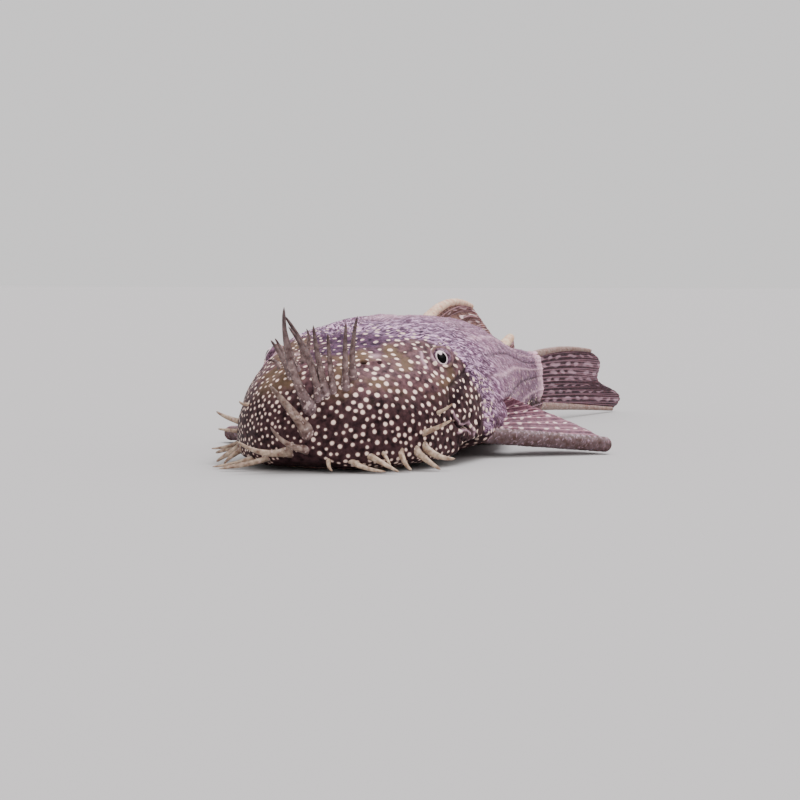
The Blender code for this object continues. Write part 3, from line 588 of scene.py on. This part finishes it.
# The streaked skull, and behind it the mauve plates, paler towards their rear edges.
skull = blend(tree, mottled, rgb(38, 20, 40), rgb(98, 70, 94))
skull = blend(tree, times(tree, line, stretch(tree, along, 17.0, 22.0)), skull, rgb(226, 184, 222))
plates = blend(tree, stretch(tree, mottle, 0.25, 0.75), rgb(54, 30, 48), rgb(108, 76, 96))
plates = blend(tree, stretch(tree, clouds, 0.35, 0.65, 0.0, 0.5), plates, rgb(136, 94, 124))
plates = blend(tree, stretch(tree, along, 50.0, 88.0, 0.0, 0.60), plates, rgb(46, 24, 42))
plates = blend(tree, stretch(tree, mark_of(tree, "tile"), 0.4, 1.0, 0.0, 0.32), plates, rgb(190, 152, 172))
plates = blend(tree, times(tree, mark_of(tree, "plate_edge"), 0.7), plates, rgb(32, 14, 26))
streak_share = times(tree, line, stretch(tree, along, 40.0, 66.0, 0.60, 0.26))
plates = blend(tree, streak_share, plates, rgb(224, 184, 210))
plates = blend(tree, stretch(tree, along, 93.5, 99.0, 0.0, 0.85), plates, rgb(232, 188, 204))

colour = blend(tree, crown, dark, blend(tree, rear, skull, plates))
# Painted shade: the sunken patch behind the cheek's fold darkens nearly to black.
colour = blend(tree, times(tree, mark_of(tree, "shaded_recess"), 0.88), colour, rgb(24, 6, 14))
# Pale skin on the keels, the eyes' rims and folds, the nose patch and the cheek's folds, with a painted
# highlight along the back's crest behind the skull.
colour = blend(tree, times(tree, mark_of(tree, "pale_ridge_and_highlight"), 0.65), colour, rgb(220, 180, 196))
colour = blend(tree, spot, colour, rgb(255, 226, 210))
flesh = blend(tree, mottle, rgb(80, 46, 56), rgb(150, 108, 116))
colour = blend(tree, mark_of(tree, "belly"), colour, flesh)
# Painted shade: the skin darkens nearly to black in its slits, pits, creases and sunken throat.
colour = blend(tree, stretch(tree, hollow_shade, 0.0, 1.0, 0.0, 0.92), colour, rgb(16, 4, 10))
tree.links.new(colour, shader.inputs["Base Color"])
tree.links.new(stretch(tree, fine, 0.3, 0.7, 0.42, 0.64), shader.inputs["Roughness"])
line_height = calc(tree, "ADD", times(tree, line, crown), times(tree, fine, 0.35))
bumpy(tree, shader, calc(tree, "ADD", line_height, times(tree, mottle, 0.5)), 0.6, 0.00016)

skin = make_piece("body_skin", skin_points, skin_faces, skin_finish, skin_marks)
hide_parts("head", "trunk", "tail_stalk")

# The bristles: soft fleshy tentacles of a grown male. Long dark ones climb the middle of the snout
# in two arms, and short pale ones fringe its edge. Each swells at its root, which is sunk in the skin.
BRISTLE_SINK = 0.0011
# Place, degrees, the point it is drawn towards and its tip, in millimetres from its root, and radius.
BRISTLES = (
    # The left arm.
    (0.011, 6, (-1.5, 3.6, 6.3), (-0.9, 3.5, 13.9), 0.66),
    (0.017, 10, (-0.1, 0.4, 5.8), (-1.1, 3.8, 10.1), 0.53),
    (0.020, 12, (0.3, 1.5, 6.1), (-0.7, 5.1, 11.1), 0.58),
    (0.022, 16, (-0.4, 1.2, 4.7), (-0.3, 1.8, 9.6), 0.55),
    (0.025, 21, (-0.2, 0.5, 4.1), (0.0, 0.8, 8.3), 0.48),
    (0.033, 28, (0.0, 0.2, 4.6), (0.4, 0.1, 9.1), 0.50),
    (0.050, 26, (-0.1, 0.6, 4.2), (0.5, -0.3, 8.4), 0.48),
    # The right arm.
    (0.042, -16, (0.2, 1.1, 2.8), (-0.3, 2.8, 5.1), 0.48),
    (0.054, -12, (0.0, 1.5, 3.3), (0.1, 2.0, 6.9), 0.48),
    (0.074, -29, (0.9, -0.4, 1.6), (0.2, 1.4, 1.4), 0.38),
    (0.087, -23, (0.6, 0.6, 1.8), (0.3, 1.7, 3.5), 0.38),
    (0.074, -11, (0.8, -0.2, 2.6), (0.2, 1.7, 4.5), 0.41),
    (0.094, -16, (1.4, -2.0, 1.9), (1.1, -1.0, 4.2), 0.36),
    # The stem at the front.
    (0.002, 9, (-2.0, 1.6, 3.5), (-2.7, 4.2, 6.5), 0.74),
    (0.001, 168, (-2.6, 2.3, 0.6), (-3.1, 4.1, 3.7), 0.50),
    # The snout's left edge and cheek.
    (0.005, 136, (-0.6, -0.1, -1.4), (-0.4, -0.9, -1.7), 0.36),
    (0.016, 134, (-0.4, -1.7, -0.8), (0.9, -5.3, -1.1), 0.46),
    (0.025, 98, (-0.3, -2.7, -1.2), (0.2, -4.4, -2.1), 0.43),
    (0.039, 90, (-0.6, -0.8, -1.1), (-0.5, -1.3, -2.3), 0.34),
    (0.063, 89, (-1.1, -0.4, -2.6), (-0.8, -1.5, -3.2), 0.46),
    (0.083, 90, (-0.6, -1.6, -1.8), (0.0, -3.4, -2.9), 0.55),
    (0.097, 89, (-0.4, -1.6, -2.1), (0.5, -4.1, -2.0), 0.58),
    (0.095, 85, (-0.4, -2.3, 1.0), (0.3, -3.9, 2.1), 0.41),
    (0.127, 76, (-0.3, -1.3, 0.6), (0.1, -2.1, 1.5), 0.31),
    # The snout's right edge and cheek.
    (0.001, -134, (-2.8, 2.6, -0.9), (-3.9, 6.0, 1.6), 0.56),
    (0.016, -142, (-1.9, 2.0, -0.6), (-3.5, 6.2, -0.9), 0.43),
    (0.034, -130, (-1.3, 2.3, -0.4), (-2.5, 5.6, -0.7), 0.38),
    (0.036, -146, (-1.7, 2.0, 0.1), (-2.9, 5.1, -0.2), 0.36),
    (0.092, -90, (-0.2, 2.5, -1.2), (-0.6, 3.8, -1.1), 0.29),
    (0.093, -86, (-0.2, 1.9, 0.2), (-0.1, 3.0, 0.3), 0.31),
    (0.051, -58, (0.0, 1.6, -0.8), (0.2, 1.9, -0.1), 0.31),
    (0.060, -93, (-0.8, 1.2, -1.2), (-0.6, 2.2, -2.5), 0.43),
    (0.078, -91, (-0.5, 1.7, -1.6), (0.1, 3.4, -2.6), 0.50),
    (0.110, -90, (-0.3, 1.8, -1.5), (0.6, 3.8, -2.0), 0.50),
    (0.104, -82, (-0.3, 2.1, 0.7), (0.4, 3.6, 1.5), 0.41),
    (0.128, -91, (0.0, 1.6, -1.2), (0.9, 3.0, -1.6), 0.43),
)
BRISTLE_PALENESS = np.repeat((0.2, 0.45, 0.95, 0.8), (13, 2, 9, 12))  # dark arms, pale edges
BRISTLE_RINGS, BRISTLE_AROUND = 26, 14
TIP_CLEARANCE, FLOOR_CLEARANCE = 0.0003, 0.00002


def rods(paths, radii, around):
    """Round rods along paths (rod, ring, xyz) with a radius at every ring, each closed to a tip."""
    along = unit(np.gradient(paths, axis=1))
    first = unit(np.cross(along, np.array((0.31, 0.87, 0.38))))
    second = np.cross(along, first)
    turn = np.arange(around) * 2 * math.pi / around
    out = first[:, :, None] * np.cos(turn)[:, None] + second[:, :, None] * np.sin(turn)[:, None]
    points = paths[:, :, None] + out * radii[:, :, None, None]
    faces = []
    for k in range(len(paths)):
        start = k * paths.shape[1] * around
        faces += grid_faces(paths.shape[1], around, wrap=True, first=start)[:, ::-1].tolist()
        faces.append(tuple(range(start, start + around)))
        end = start + (paths.shape[1] - 1) * around
        faces.append(tuple(reversed(range(end, end + around))))
    return points.reshape(-1, 3), faces


def arcs(starts, pulls, ends, count):
    """Curves from starts to ends, each drawn towards its pull."""
    start, pull, end = (np.array(points)[:, None] for points in (starts, pulls, ends))
    t = np.linspace(0, 1, count)[None, :, None]
    return start * (1 - t) ** 2 + pull * 2 * t * (1 - t) + end * t * t


roots, pulls, tips, widths = [], [], [], []
for place, degrees, drawn_to, end, radius in BRISTLES:
    on_skin = body_point(place, degrees)
    pull, tip = on_skin + np.array(drawn_to) / 1000, on_skin + np.array(end) / 1000
    pull[2], tip[2] = max(pull[2], radius / 1000), max(tip[2], TIP_CLEARANCE)
    roots.append(on_skin - body_normal(place, degrees) * BRISTLE_SINK)
    pulls.append(pull)
    tips.append(tip)
    widths.append(radius / 1000)
t = np.linspace(0, 1, BRISTLE_RINGS)
taper = 1.08 - 0.80 * t**1.3 + 0.9 * hump(t, 0.13)
taper *= np.sqrt(np.clip((1.0 - t) / 0.06, 0.02, 1.0))
bristle_points, bristle_faces = rods(
    arcs(roots, pulls, tips, BRISTLE_RINGS), np.array(widths)[:, None] * taper, BRISTLE_AROUND
)
bristle_points[:, 2] = np.maximum(bristle_points[:, 2], FLOOR_CLEARANCE)
bristle_marks = {
    "pale": np.repeat(BRISTLE_PALENESS, BRISTLE_RINGS * BRISTLE_AROUND),
    "up": np.tile(np.repeat(t, BRISTLE_AROUND), len(widths)),
}

bristle_finish, tree, shader = new_finish(
    "bristle_flesh", Subsurface_Weight=0.08, Subsurface_Scale=0.0008, Specular_IOR_Level=0.20,
)
lumps, fine = grain(tree, 0.7), grain(tree, 0.10)
lumped = stretch(tree, lumps, 0.30, 0.70)
pale, up = mark_of(tree, "pale"), mark_of(tree, "up")
dark_flesh = blend(tree, lumped, rgb(52, 32, 42), rgb(122, 98, 108))
pale_flesh = blend(tree, lumped, rgb(132, 104, 88), rgb(218, 196, 170))
pale_flesh = blend(tree, stretch(tree, up, 0.0, 0.30, 0.7, 0.0), pale_flesh, rgb(84, 60, 60))
colour = blend(tree, pale, dark_flesh, pale_flesh)
darkness = calc(tree, "SUBTRACT", 1.0, pale)
tip_share = times(tree, stretch(tree, up, 0.40, 1.0, 0.0, 0.85), darkness)
colour = blend(tree, tip_share, colour, rgb(30, 12, 20))
flecks = stretch(tree, grain(tree, 0.5, 1.0), 0.60, 0.66)
flecks = times(tree, flecks, stretch(tree, up, 0.15, 0.7, 0.5, 0.0))
colour = blend(tree, flecks, colour, rgb(232, 204, 200))
# Painted shade: each bristle darkens towards its edges as seen, where it turns away from the camera; the pale
# ones less.
edge_shade = stretch(tree, put(tree, "ShaderNodeLayerWeight", {0: 0.5}, output="Facing"), 0.35, 0.85, 0.0, 0.75)
edge_shade = times(tree, edge_shade, stretch(tree, pale, 0.2, 1.0, 1.0, 0.35))
colour = blend(tree, edge_shade, colour, rgb(26, 10, 16))
tree.links.new(colour, shader.inputs["Base Color"])
tree.links.new(stretch(tree, fine, 0.3, 0.7, 0.34, 0.52), shader.inputs["Roughness"])
bumpy(tree, shader, calc(tree, "ADD", lumps, fine), 0.4, 0.0001)
bristles = make_piece("bristles", bristle_points, bristle_faces, bristle_finish, bristle_marks)

# The cheek spines: small hooked teeth at the back of each cheek, which a male spreads when it
# fights. They are rooted in the skin and folded back against it.
SPINES_PER_CHEEK = 4
CHEEK_SPINE_RADIUS, CHEEK_SPINE_TAPER = 0.00019, 0.85
CHEEK_SPINE_SINK, CHEEK_SPINE_STAND, CHEEK_SPINE_HOOK = 0.0005, 0.00060, 0.0016
CHEEK_SPINE_RINGS, CHEEK_SPINE_AROUND = 16, 10

roots, pulls, tips = [], [], []
for side in (1, -1):
    for k in range(SPINES_PER_CHEEK):
        place, degrees = 0.262 + 0.012 * (k % 2), side * (68 + 6 * k)
        on_skin, out = body_point(place, degrees), body_normal(place, degrees)
        roots.append(on_skin - out * CHEEK_SPINE_SINK)
        pulls.append(on_skin + out * CHEEK_SPINE_STAND)
        tips.append(on_skin + out * 0.00055 + np.array((CHEEK_SPINE_HOOK, 0.0, 0.0)))
hook_radii = CHEEK_SPINE_RADIUS * (1.0 - CHEEK_SPINE_TAPER * np.linspace(0, 1, CHEEK_SPINE_RINGS))
hook_points, hook_faces = rods(
    arcs(roots, pulls, tips, CHEEK_SPINE_RINGS), np.tile(hook_radii, (len(roots), 1)), CHEEK_SPINE_AROUND
)

hook_finish, tree, shader = new_finish("tooth", Subsurface_Weight=0.1, Subsurface_Scale=0.0005)
lumps = grain(tree, 0.4)
colour = blend(tree, stretch(tree, lumps, 0.3, 0.7), rgb(120, 84, 96), rgb(206, 170, 180))
tree.links.new(colour, shader.inputs["Base Color"])
tree.links.new(stretch(tree, lumps, 0.3, 0.7, 0.30, 0.45), shader.inputs["Roughness"])
bumpy(tree, shader, lumps, 0.2, 0.00005)
hooks = make_piece("cheek_spines", hook_points, hook_faces, hook_finish)

# The eyes: small glossy balls high on the cheeks, held by the skin round them. A flap of the iris
# hangs into the black pupil and makes it a crescent; a thin pale ring lies round it.
PUPIL_WIDTH, PUPIL_HEIGHT, PUPIL_LEAN = 0.66, 0.84, 0.22  # half sizes in millimetres, and slant
FLAP_ACROSS, FLAP_UP, FLAP_WIDTH, FLAP_HEIGHT = -0.06, 0.86, 0.30, 0.52
IRIS_EDGE = 1.25  # the ring ends this many times as far out as the pupil
EYE_RELIEF = 0.00004
EYE_RINGS, EYE_AROUND, EYE_REACH = 110, 128, math.pi * 0.62

eye_finish, tree, shader = new_finish(
    "wet_eye", Specular_IOR_Level=0.05, Coat_Weight=0.15, Coat_Roughness=0.03, Coat_IOR=1.3,
)
pupil, off_axis = mark_of(tree, "pupil"), mark_of(tree, "off_axis")
fleck = grain(tree, 0.16)
ring = blend(tree, stretch(tree, fleck, 0.3, 0.7), rgb(224, 196, 206), rgb(255, 240, 244))
rim_flesh = blend(tree, stretch(tree, grain(tree, 0.5), 0.35, 0.65), rgb(48, 28, 40), rgb(128, 96, 116))
colour = blend(tree, stretch(tree, off_axis, IRIS_EDGE - 0.10, IRIS_EDGE + 0.06), ring, rim_flesh)
colour = blend(tree, stretch(tree, pupil, -0.02, 0.02), colour, rgb(3, 1, 2))
tree.links.new(colour, shader.inputs["Base Color"])
tree.links.new(stretch(tree, fleck, 0.3, 0.7, 0.22, 0.34), shader.inputs["Roughness"])
bumpy(tree, shader, fleck, 0.15, 0.00005)

eye_tilts = np.linspace(0.0005, EYE_REACH, EYE_RINGS)
eye_spins = np.arange(EYE_AROUND) * 2 * math.pi / EYE_AROUND
tilt, spin = np.meshgrid(eye_tilts, eye_spins, indexing="ij")
for name, side in (("eye_left", 1), ("eye_right", -1)):
    centre, axis, _ = eye_seat(side)
    upward = unit(np.array((0.0, 0.0, 1.0)) - axis * axis[2])
    across = np.cross(upward, axis)
    x, y = (EYE_RADIUS * 1000 * np.sin(tilt) * f(spin) for f in (np.cos, np.sin))
    x = x * side + PUPIL_LEAN * y
    off = np.hypot(x / PUPIL_WIDTH, y / PUPIL_HEIGHT)
    flap = 1 - np.hypot((x - FLAP_ACROSS) / FLAP_WIDTH, (y - FLAP_UP) / FLAP_HEIGHT)
    pupil = np.minimum((1 - off) * 0.55, -flap * 0.25)
    radius = EYE_RADIUS + EYE_RELIEF * (fall(pupil, -0.05, 0.02) - hump(off - IRIS_EDGE, 0.10))
    ball = centre + radius[..., None] * (
        np.sin(tilt)[..., None] * (np.cos(spin)[..., None] * across + np.sin(spin)[..., None] * upward)
        + np.cos(tilt)[..., None] * axis
    )
    faces = grid_faces(EYE_RINGS, EYE_AROUND, wrap=True).tolist()
    faces.append(tuple(reversed(range(EYE_AROUND))))
    faces.append(tuple(range(ball.size // 3 - EYE_AROUND, ball.size // 3)))
    eye_marks = {"pupil": pupil, "off_axis": off}
    eye = make_piece(name.replace("eye_", "eyeball_"), ball, faces, eye_finish, eye_marks)
    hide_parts(name)

# The sucker mouth: a soft disc under the snout that holds the fish to stone and glass. Its broad
# lips are covered with small warts and roll in to the mouth's hollow.
MOUTH_PLACE, MOUTH_HALF_LENGTH, MOUTH_HALF_WIDTH = 0.135, 0.078, 0.102
MOUTH_DEPTH = 0.0018
WARTS_ROUND, WART_DEPTH = 52, 0.00010
LIP_RINGS, LIP_AROUND = 90, 260
# Shares of the disc's radius and depth, from its top over the roll of the lip and in to its middle.
LIP_PROFILE = np.array((
    (0.80, 1.0), (0.95, 0.72), (1.0, 0.42), (0.97, 0.14), (0.90, 0.02), (0.75, 0.02), (0.60, 0.04),
    (0.50, 0.16), (0.42, 0.42), (0.30, 0.60), (0.0, 0.62),
))

lip_finish, tree, shader = new_finish(
    "lip_flesh", Subsurface_Weight=0.15, Subsurface_Scale=0.001, Coat_Weight=0.2,
)
lumps, fine = grain(tree, 0.9), grain(tree, 0.12, 2.0)
colour = blend(tree, stretch(tree, lumps, 0.3, 0.7), rgb(120, 88, 94), rgb(190, 156, 154))
colour = blend(tree, stretch(tree, mark_of(tree, "wart"), 0.2, 1.0, 0.0, 0.6), colour, rgb(232, 204, 190))
tree.links.new(colour, shader.inputs["Base Color"])
tree.links.new(stretch(tree, fine, 0.3, 0.7, 0.4, 0.6), shader.inputs["Roughness"])
bumpy(tree, shader, fine, 0.3, 0.00008)

pace = np.linspace(0, len(LIP_PROFILE) - 1, LIP_RINGS)
lip_radius, lip_depth = (np.interp(pace, np.arange(len(LIP_PROFILE)), LIP_PROFILE[:, k]) for k in (0, 1))
lip_turn = np.arange(LIP_AROUND) * 2 * math.pi / LIP_AROUND
wart = np.cos(lip_turn[None] * WARTS_ROUND + (pace[:, None] // 1.0) * 1.3) * np.cos(pace[:, None] * 6.0)
wart = np.clip(wart, 0, 1) * ramp(lip_radius, 0.45, 0.6)[:, None]
lip_points = on_fish(
    MOUTH_PLACE - lip_radius[:, None] * MOUTH_HALF_LENGTH * np.cos(lip_turn),
    lip_radius[:, None] * MOUTH_HALF_WIDTH * np.sin(lip_turn),
    np.maximum(lip_depth[:, None] * MOUTH_DEPTH - WART_DEPTH * wart, FLOOR_CLEARANCE) / STANDARD_LENGTH,
)
lip_faces = grid_faces(LIP_RINGS, LIP_AROUND, wrap=True).tolist()
lip_faces.append(tuple(reversed(range(LIP_AROUND))))
mouth = make_piece("lips", lip_points, lip_faces, lip_finish, {"wart": wart})
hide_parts("sucker_mouth")

# The fins: thin spotted webs over jointed rays that fork towards the edge, each behind a stout
# spine with a rough skin. They grow out of the body's skin and lie half folded.

# Root and tips are the lines that the rays start and end on, and each spine has its share of the
# way from the first ray to the last and its radius. Cream and tone go from 0 to 1, plum to cream
# and light to dark. Spot is the spots' half length, half width and spacing, and the rows of them.
FINS = {
    "pectoral_fin_left": {
        "root": ((0.300, 0.140, 0.034), (0.318, 0.142, 0.048), (0.342, 0.142, 0.066)),
        "tips": ((0.430, 0.312, 0.0135), (0.475, 0.270, 0.035), (0.500, 0.185, 0.055), (0.375, 0.172, 0.085)),
        "rays": 8, "spines": ((0.0, 0.0012),), "taper": 0.08, "cream": 0.1,
        "spot": (0.45, 0.21, 1.9, 7), "tone": 0.15,
    },
    "pelvic_fin_left": {
        "root": ((0.500, 0.085, 0.016), (0.525, 0.085, 0.016), (0.550, 0.080, 0.016)),
        "tips": ((0.690, 0.180, 0.0036), (0.765, 0.165, 0.0045), (0.705, 0.115, 0.010)),
        "rays": 6, "spines": ((0.0, 0.00085),), "taper": 0.55, "cream": 0.2,
        "spot": (0.45, 0.22, 2.0, 5), "tone": 0.2,
    },
    "dorsal_fin": {
        "root": ((0.478, 0.0, 0.190), (0.600, 0.0, 0.176), (0.710, 0.0, 0.148)),
        "tips": ((0.705, 0.0, 0.211), (0.748, 0.0, 0.190), (0.800, 0.0, 0.162)),
        "rays": 8, "spines": ((0.0, 0.0009),), "taper": 0.55, "arch": 0.072, "pleat": 0.0003, "cream": 0.8,
        "spot": (1.2, 0.42, 3.8, 5), "tone": 0.30,
    },
    "adipose_fin": {
        "root": ((0.815, 0.0, 0.128), (0.845, 0.0, 0.122), (0.872, 0.0, 0.118)),
        "tips": ((0.882, 0.005, 0.158), (0.892, 0.005, 0.150), (0.896, 0.004, 0.138)),
        "rays": 3, "spines": ((0.0, 0.0012),), "taper": 0.45, "cream": 0.9,
        "spot": (0.4, 0.25, 1.6, 2), "tone": 0.6,
    },
    "anal_fin": {
        "root": ((0.690, 0.0, 0.020), (0.705, 0.0, 0.024), (0.722, 0.0, 0.028)),
        "tips": ((0.800, 0.0, 0.0065), (0.835, 0.0, 0.0070), (0.822, 0.0, 0.0120)),
        "rays": 5, "spines": ((0.0, 0.0006),), "taper": 0.55, "cream": 0.3,
        "spot": (0.45, 0.22, 2.0, 4), "tone": 0.2,
    },
    "tail_fin": {
        "root": ((0.985, 0.0, 0.120), (0.985, 0.0, 0.074), (0.985, 0.0, 0.031)),
        "tips": (
            (1.225, 0.020, 0.121), (1.242, 0.020, 0.110), (1.466, 0.020, 0.072), (0.898, 0.020, 0.053),
            (1.502, 0.020, 0.066), (1.388, 0.020, 0.021), (1.330, 0.020, 0.006),
        ),
        "rays": 16, "spines": ((0.0, 0.0007), (1.0, 0.0008)), "taper": 0.55, "arch": 0.030, "cream": 0.25,
        "spot": (1.35, 0.40, 4.4, 8), "tone": 1.0,
    },
}
for fin_name in ("pectoral_fin", "pelvic_fin"):
    other = dict(FINS[fin_name + "_left"])
    for line in ("root", "tips"):
        other[line] = tuple((place, -side, height) for place, side, height in other[line])
    FINS[fin_name + "_right"] = other
COLUMNS_PER_RAY, FIN_ROWS = 18, 90
WEB_THICKNESS, RAY_THICKNESS, JOINT_RISE = 0.00022, 0.00050, 0.00004
RAY_JOINT = 0.55  # millimetres from one joint of a ray to the next
SPINE_RINGS, SPINE_AROUND, SPINE_ROUGHNESS = 150, 32, 0.06


def through(line, u):
    """Places on the smooth curve that the line's places draw."""
    u = np.asarray(u, float)[..., None]
    left = [np.array(p) for p in line]
    while len(left) > 1:
        left = [a + (b - a) * u for a, b in zip(left[:-1], left[1:])]
    return left[0]


def fin_sheet(fin, u, v):
    """Middle of a fin's web: u runs from its first ray to its last, v from root to tip."""
    u, v = np.broadcast_arrays(np.asarray(u, float), np.asarray(v, float))
    start, end = through(fin["root"], u), through(fin["tips"], u)
    at = start + (end - start) * v[..., None]
    arch = fin.get("arch", 0.0) * (1 - 0.85 * u) * v * (1 - v)
    return on_fish(at[..., 0], at[..., 1], at[..., 2] + arch)


def fin_spine(fin, share, radius):
    """A fin's spine along one of its rays, with the grit of its skin at each point."""
    along = np.sin(np.linspace(0, math.pi / 2, SPINE_RINGS))
    path = fin_sheet(fin, share, along)
    length = np.linalg.norm(path[-1] - path[0])
    blunt = radius * (1 - fin["taper"]) / length
    end = np.sqrt(np.clip(1 - (np.maximum(along - 1 + blunt, 0) / blunt) ** 2, 0.003, 1))
    radii = radius * (1 - fin["taper"] * along) * end
    points, faces = rods(path[None], radii[None], SPINE_AROUND)
    away = points - np.repeat(path, SPINE_AROUND, axis=0)
    grit = np.random.default_rng(5).uniform(-1, 1, len(away))
    points += away * SPINE_ROUGHNESS * grit[:, None]
    beads = 0.5 + 0.5 * np.cos(np.repeat(along, SPINE_AROUND) * length * 1000 * 7.0)
    grit = np.maximum(grit, 0.85 * ramp(unit(away)[:, 2], 0.55, 0.95) * ramp(beads, 0.3, 0.8))
    return points, faces, grit


fin_finish, tree, shader = new_finish(
    "fin_web", Subsurface_Weight=0.12, Subsurface_Scale=0.0008, Specular_IOR_Level=0.12,
)
ray, spotted, tone, cream = (mark_of(tree, m) for m in ("ray", "spotted", "tone", "cream"))
lumps, fine = grain(tree, 0.8), grain(tree, 0.10)
lumped = stretch(tree, lumps, 0.35, 0.65)
web = blend(tree, stretch(tree, lumps, 0.30, 0.70), rgb(66, 34, 52), rgb(124, 80, 102))
web = blend(tree, cream, web, blend(tree, lumped, rgb(92, 54, 50), rgb(184, 146, 126)))
web = blend(tree, tone, web, blend(tree, lumped, rgb(34, 16, 24), rgb(74, 48, 58)))
web = blend(tree, times(tree, mark_of(tree, "valley"), 0.7), web, rgb(50, 24, 34))
ray_share = times(tree, ray, stretch(tree, tone, 0.0, 1.0, 0.75, 0.35))
web = blend(tree, ray_share, web, rgb(186, 142, 156))
web = blend(tree, spotted, web, blend(tree, tone, rgb(252, 222, 220), rgb(160, 128, 140)))
lumped = stretch(tree, lumps, 0.3, 0.7)
gritted = stretch(tree, mark_of(tree, "grit"), 0.50, 1.0, 0.0, 0.55)
spine_skin = blend(tree, lumped, rgb(30, 16, 30), rgb(80, 58, 80))
spine_skin = blend(tree, gritted, spine_skin, rgb(206, 174, 198))
spine_pale = blend(tree, lumped, rgb(216, 168, 142), rgb(252, 226, 196))
spine_skin = blend(tree, cream, spine_skin, spine_pale)
colour = blend(tree, mark_of(tree, "spine"), web, spine_skin)
tree.links.new(colour, shader.inputs["Base Color"])
tree.links.new(stretch(tree, fine, 0.3, 0.7, 0.38, 0.58), shader.inputs["Roughness"])
bumpy(tree, shader, calc(tree, "ADD", lumps, fine), 0.45, 0.00010)

for fin_name, fin in FINS.items():
    gaps = fin["rays"] - 1
    columns, rows = gaps * COLUMNS_PER_RAY + 1, FIN_ROWS
    u, v = np.meshgrid(np.linspace(0, 1, columns), np.linspace(0, 1, rows), indexing="xy")
    ray_at = u * gaps
    off = ray_at - np.round(ray_at)
    fork = 0.22 * ramp(v, 0.40, 0.85)
    pace = np.linalg.norm(np.gradient(fin_sheet(fin, u, v), axis=1), axis=-1) * 1000 * COLUMNS_PER_RAY
    aside = np.minimum(np.abs(off - fork), np.abs(off + fork)) * pace  # millimetres from the ray
    crest = hump(aside, 0.15)
    scallop = 1 - 0.007 * ramp(np.abs(off), 0.15, 0.5) - 0.06 * hump(u, 0.05)
    sheet = fin_sheet(fin, u, v * scallop)
    normal = unit(np.cross(np.gradient(sheet, axis=0), np.gradient(sheet, axis=1)))
    reach = np.linalg.norm(sheet - sheet[:1], axis=-1) * 1000
    joint = 0.5 + 0.5 * np.cos(reach * 2 * math.pi / RAY_JOINT)
    valley = hump(aside - 0.30, 0.10) * fall(v, 0.5, 0.9)
    thick = WEB_THICKNESS + crest * (RAY_THICKNESS * (1 - 0.55 * v) + JOINT_RISE * joint)
    thick *= 1 - 0.6 * ramp(v, 0.93, 1.0)
    pleat = fin.get("pleat", 0.0) * np.cos(ray_at * math.pi) * np.sin(math.pi * v)
    sheet = sheet + normal * pleat[..., None]

    spot_length, spot_width, spot_pitch, spot_rows = fin["spot"]
    row_at = u * spot_rows + 0.10 * np.sin(reach * 1.7)
    row = np.round(row_at)
    beat = reach / spot_pitch + 0.37 * row + 0.22 * np.sin(row * 2.1 + reach * 0.5)
    aslant = (row_at - row) * pace * gaps / spot_rows / spot_width
    spot = np.hypot((beat - np.round(beat)) * spot_pitch / spot_length, aslant)
    spotted = fall(spot, 0.70, 1.20) * ramp(reach, 0.3, 1.2)

    both = np.stack((sheet + normal * thick[..., None] / 2, sheet - normal * thick[..., None] / 2))
    size = rows * columns
    faces = grid_faces(rows, columns).tolist()
    faces += (grid_faces(rows, columns)[:, ::-1] + size).tolist()
    rim = [r * columns for r in range(rows)]
    rim += [(rows - 1) * columns + c for c in range(1, columns)]
    rim += [r * columns + columns - 1 for r in range(rows - 2, -1, -1)]
    rim += list(range(columns - 2, 0, -1))
    faces += [(i, j, j + size, i + size) for i, j in zip(rim, rim[1:] + rim[:1])]
    points, grits = both.reshape(-1, 3), np.zeros(2 * size)
    for share, radius in fin["spines"]:
        spine_points, spine_faces, grit = fin_spine(fin, share, radius)
        faces += [tuple(i + len(points) for i in face) for face in spine_faces]
        points = np.concatenate((points, spine_points))
        grits = np.concatenate((grits, grit))
    points[:, 2] = np.maximum(points[:, 2], FLOOR_CLEARANCE)
    on_spines = len(points) - 2 * size
    marks = {
        "spine": np.repeat((0.0, 1.0), (2 * size, on_spines)),
        "grit": grits,
        "tone": np.full(len(points), fin["tone"]),
        "cream": np.full(len(points), fin["cream"]),
    }
    for mark, values in (("ray", crest), ("spotted", spotted), ("valley", valley)):
        marks[mark] = np.concatenate((values.ravel(), values.ravel(), np.zeros(on_spines)))
    made = make_piece(fin_name + "_web", points, faces, fin_finish, marks)
    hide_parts(fin_name)
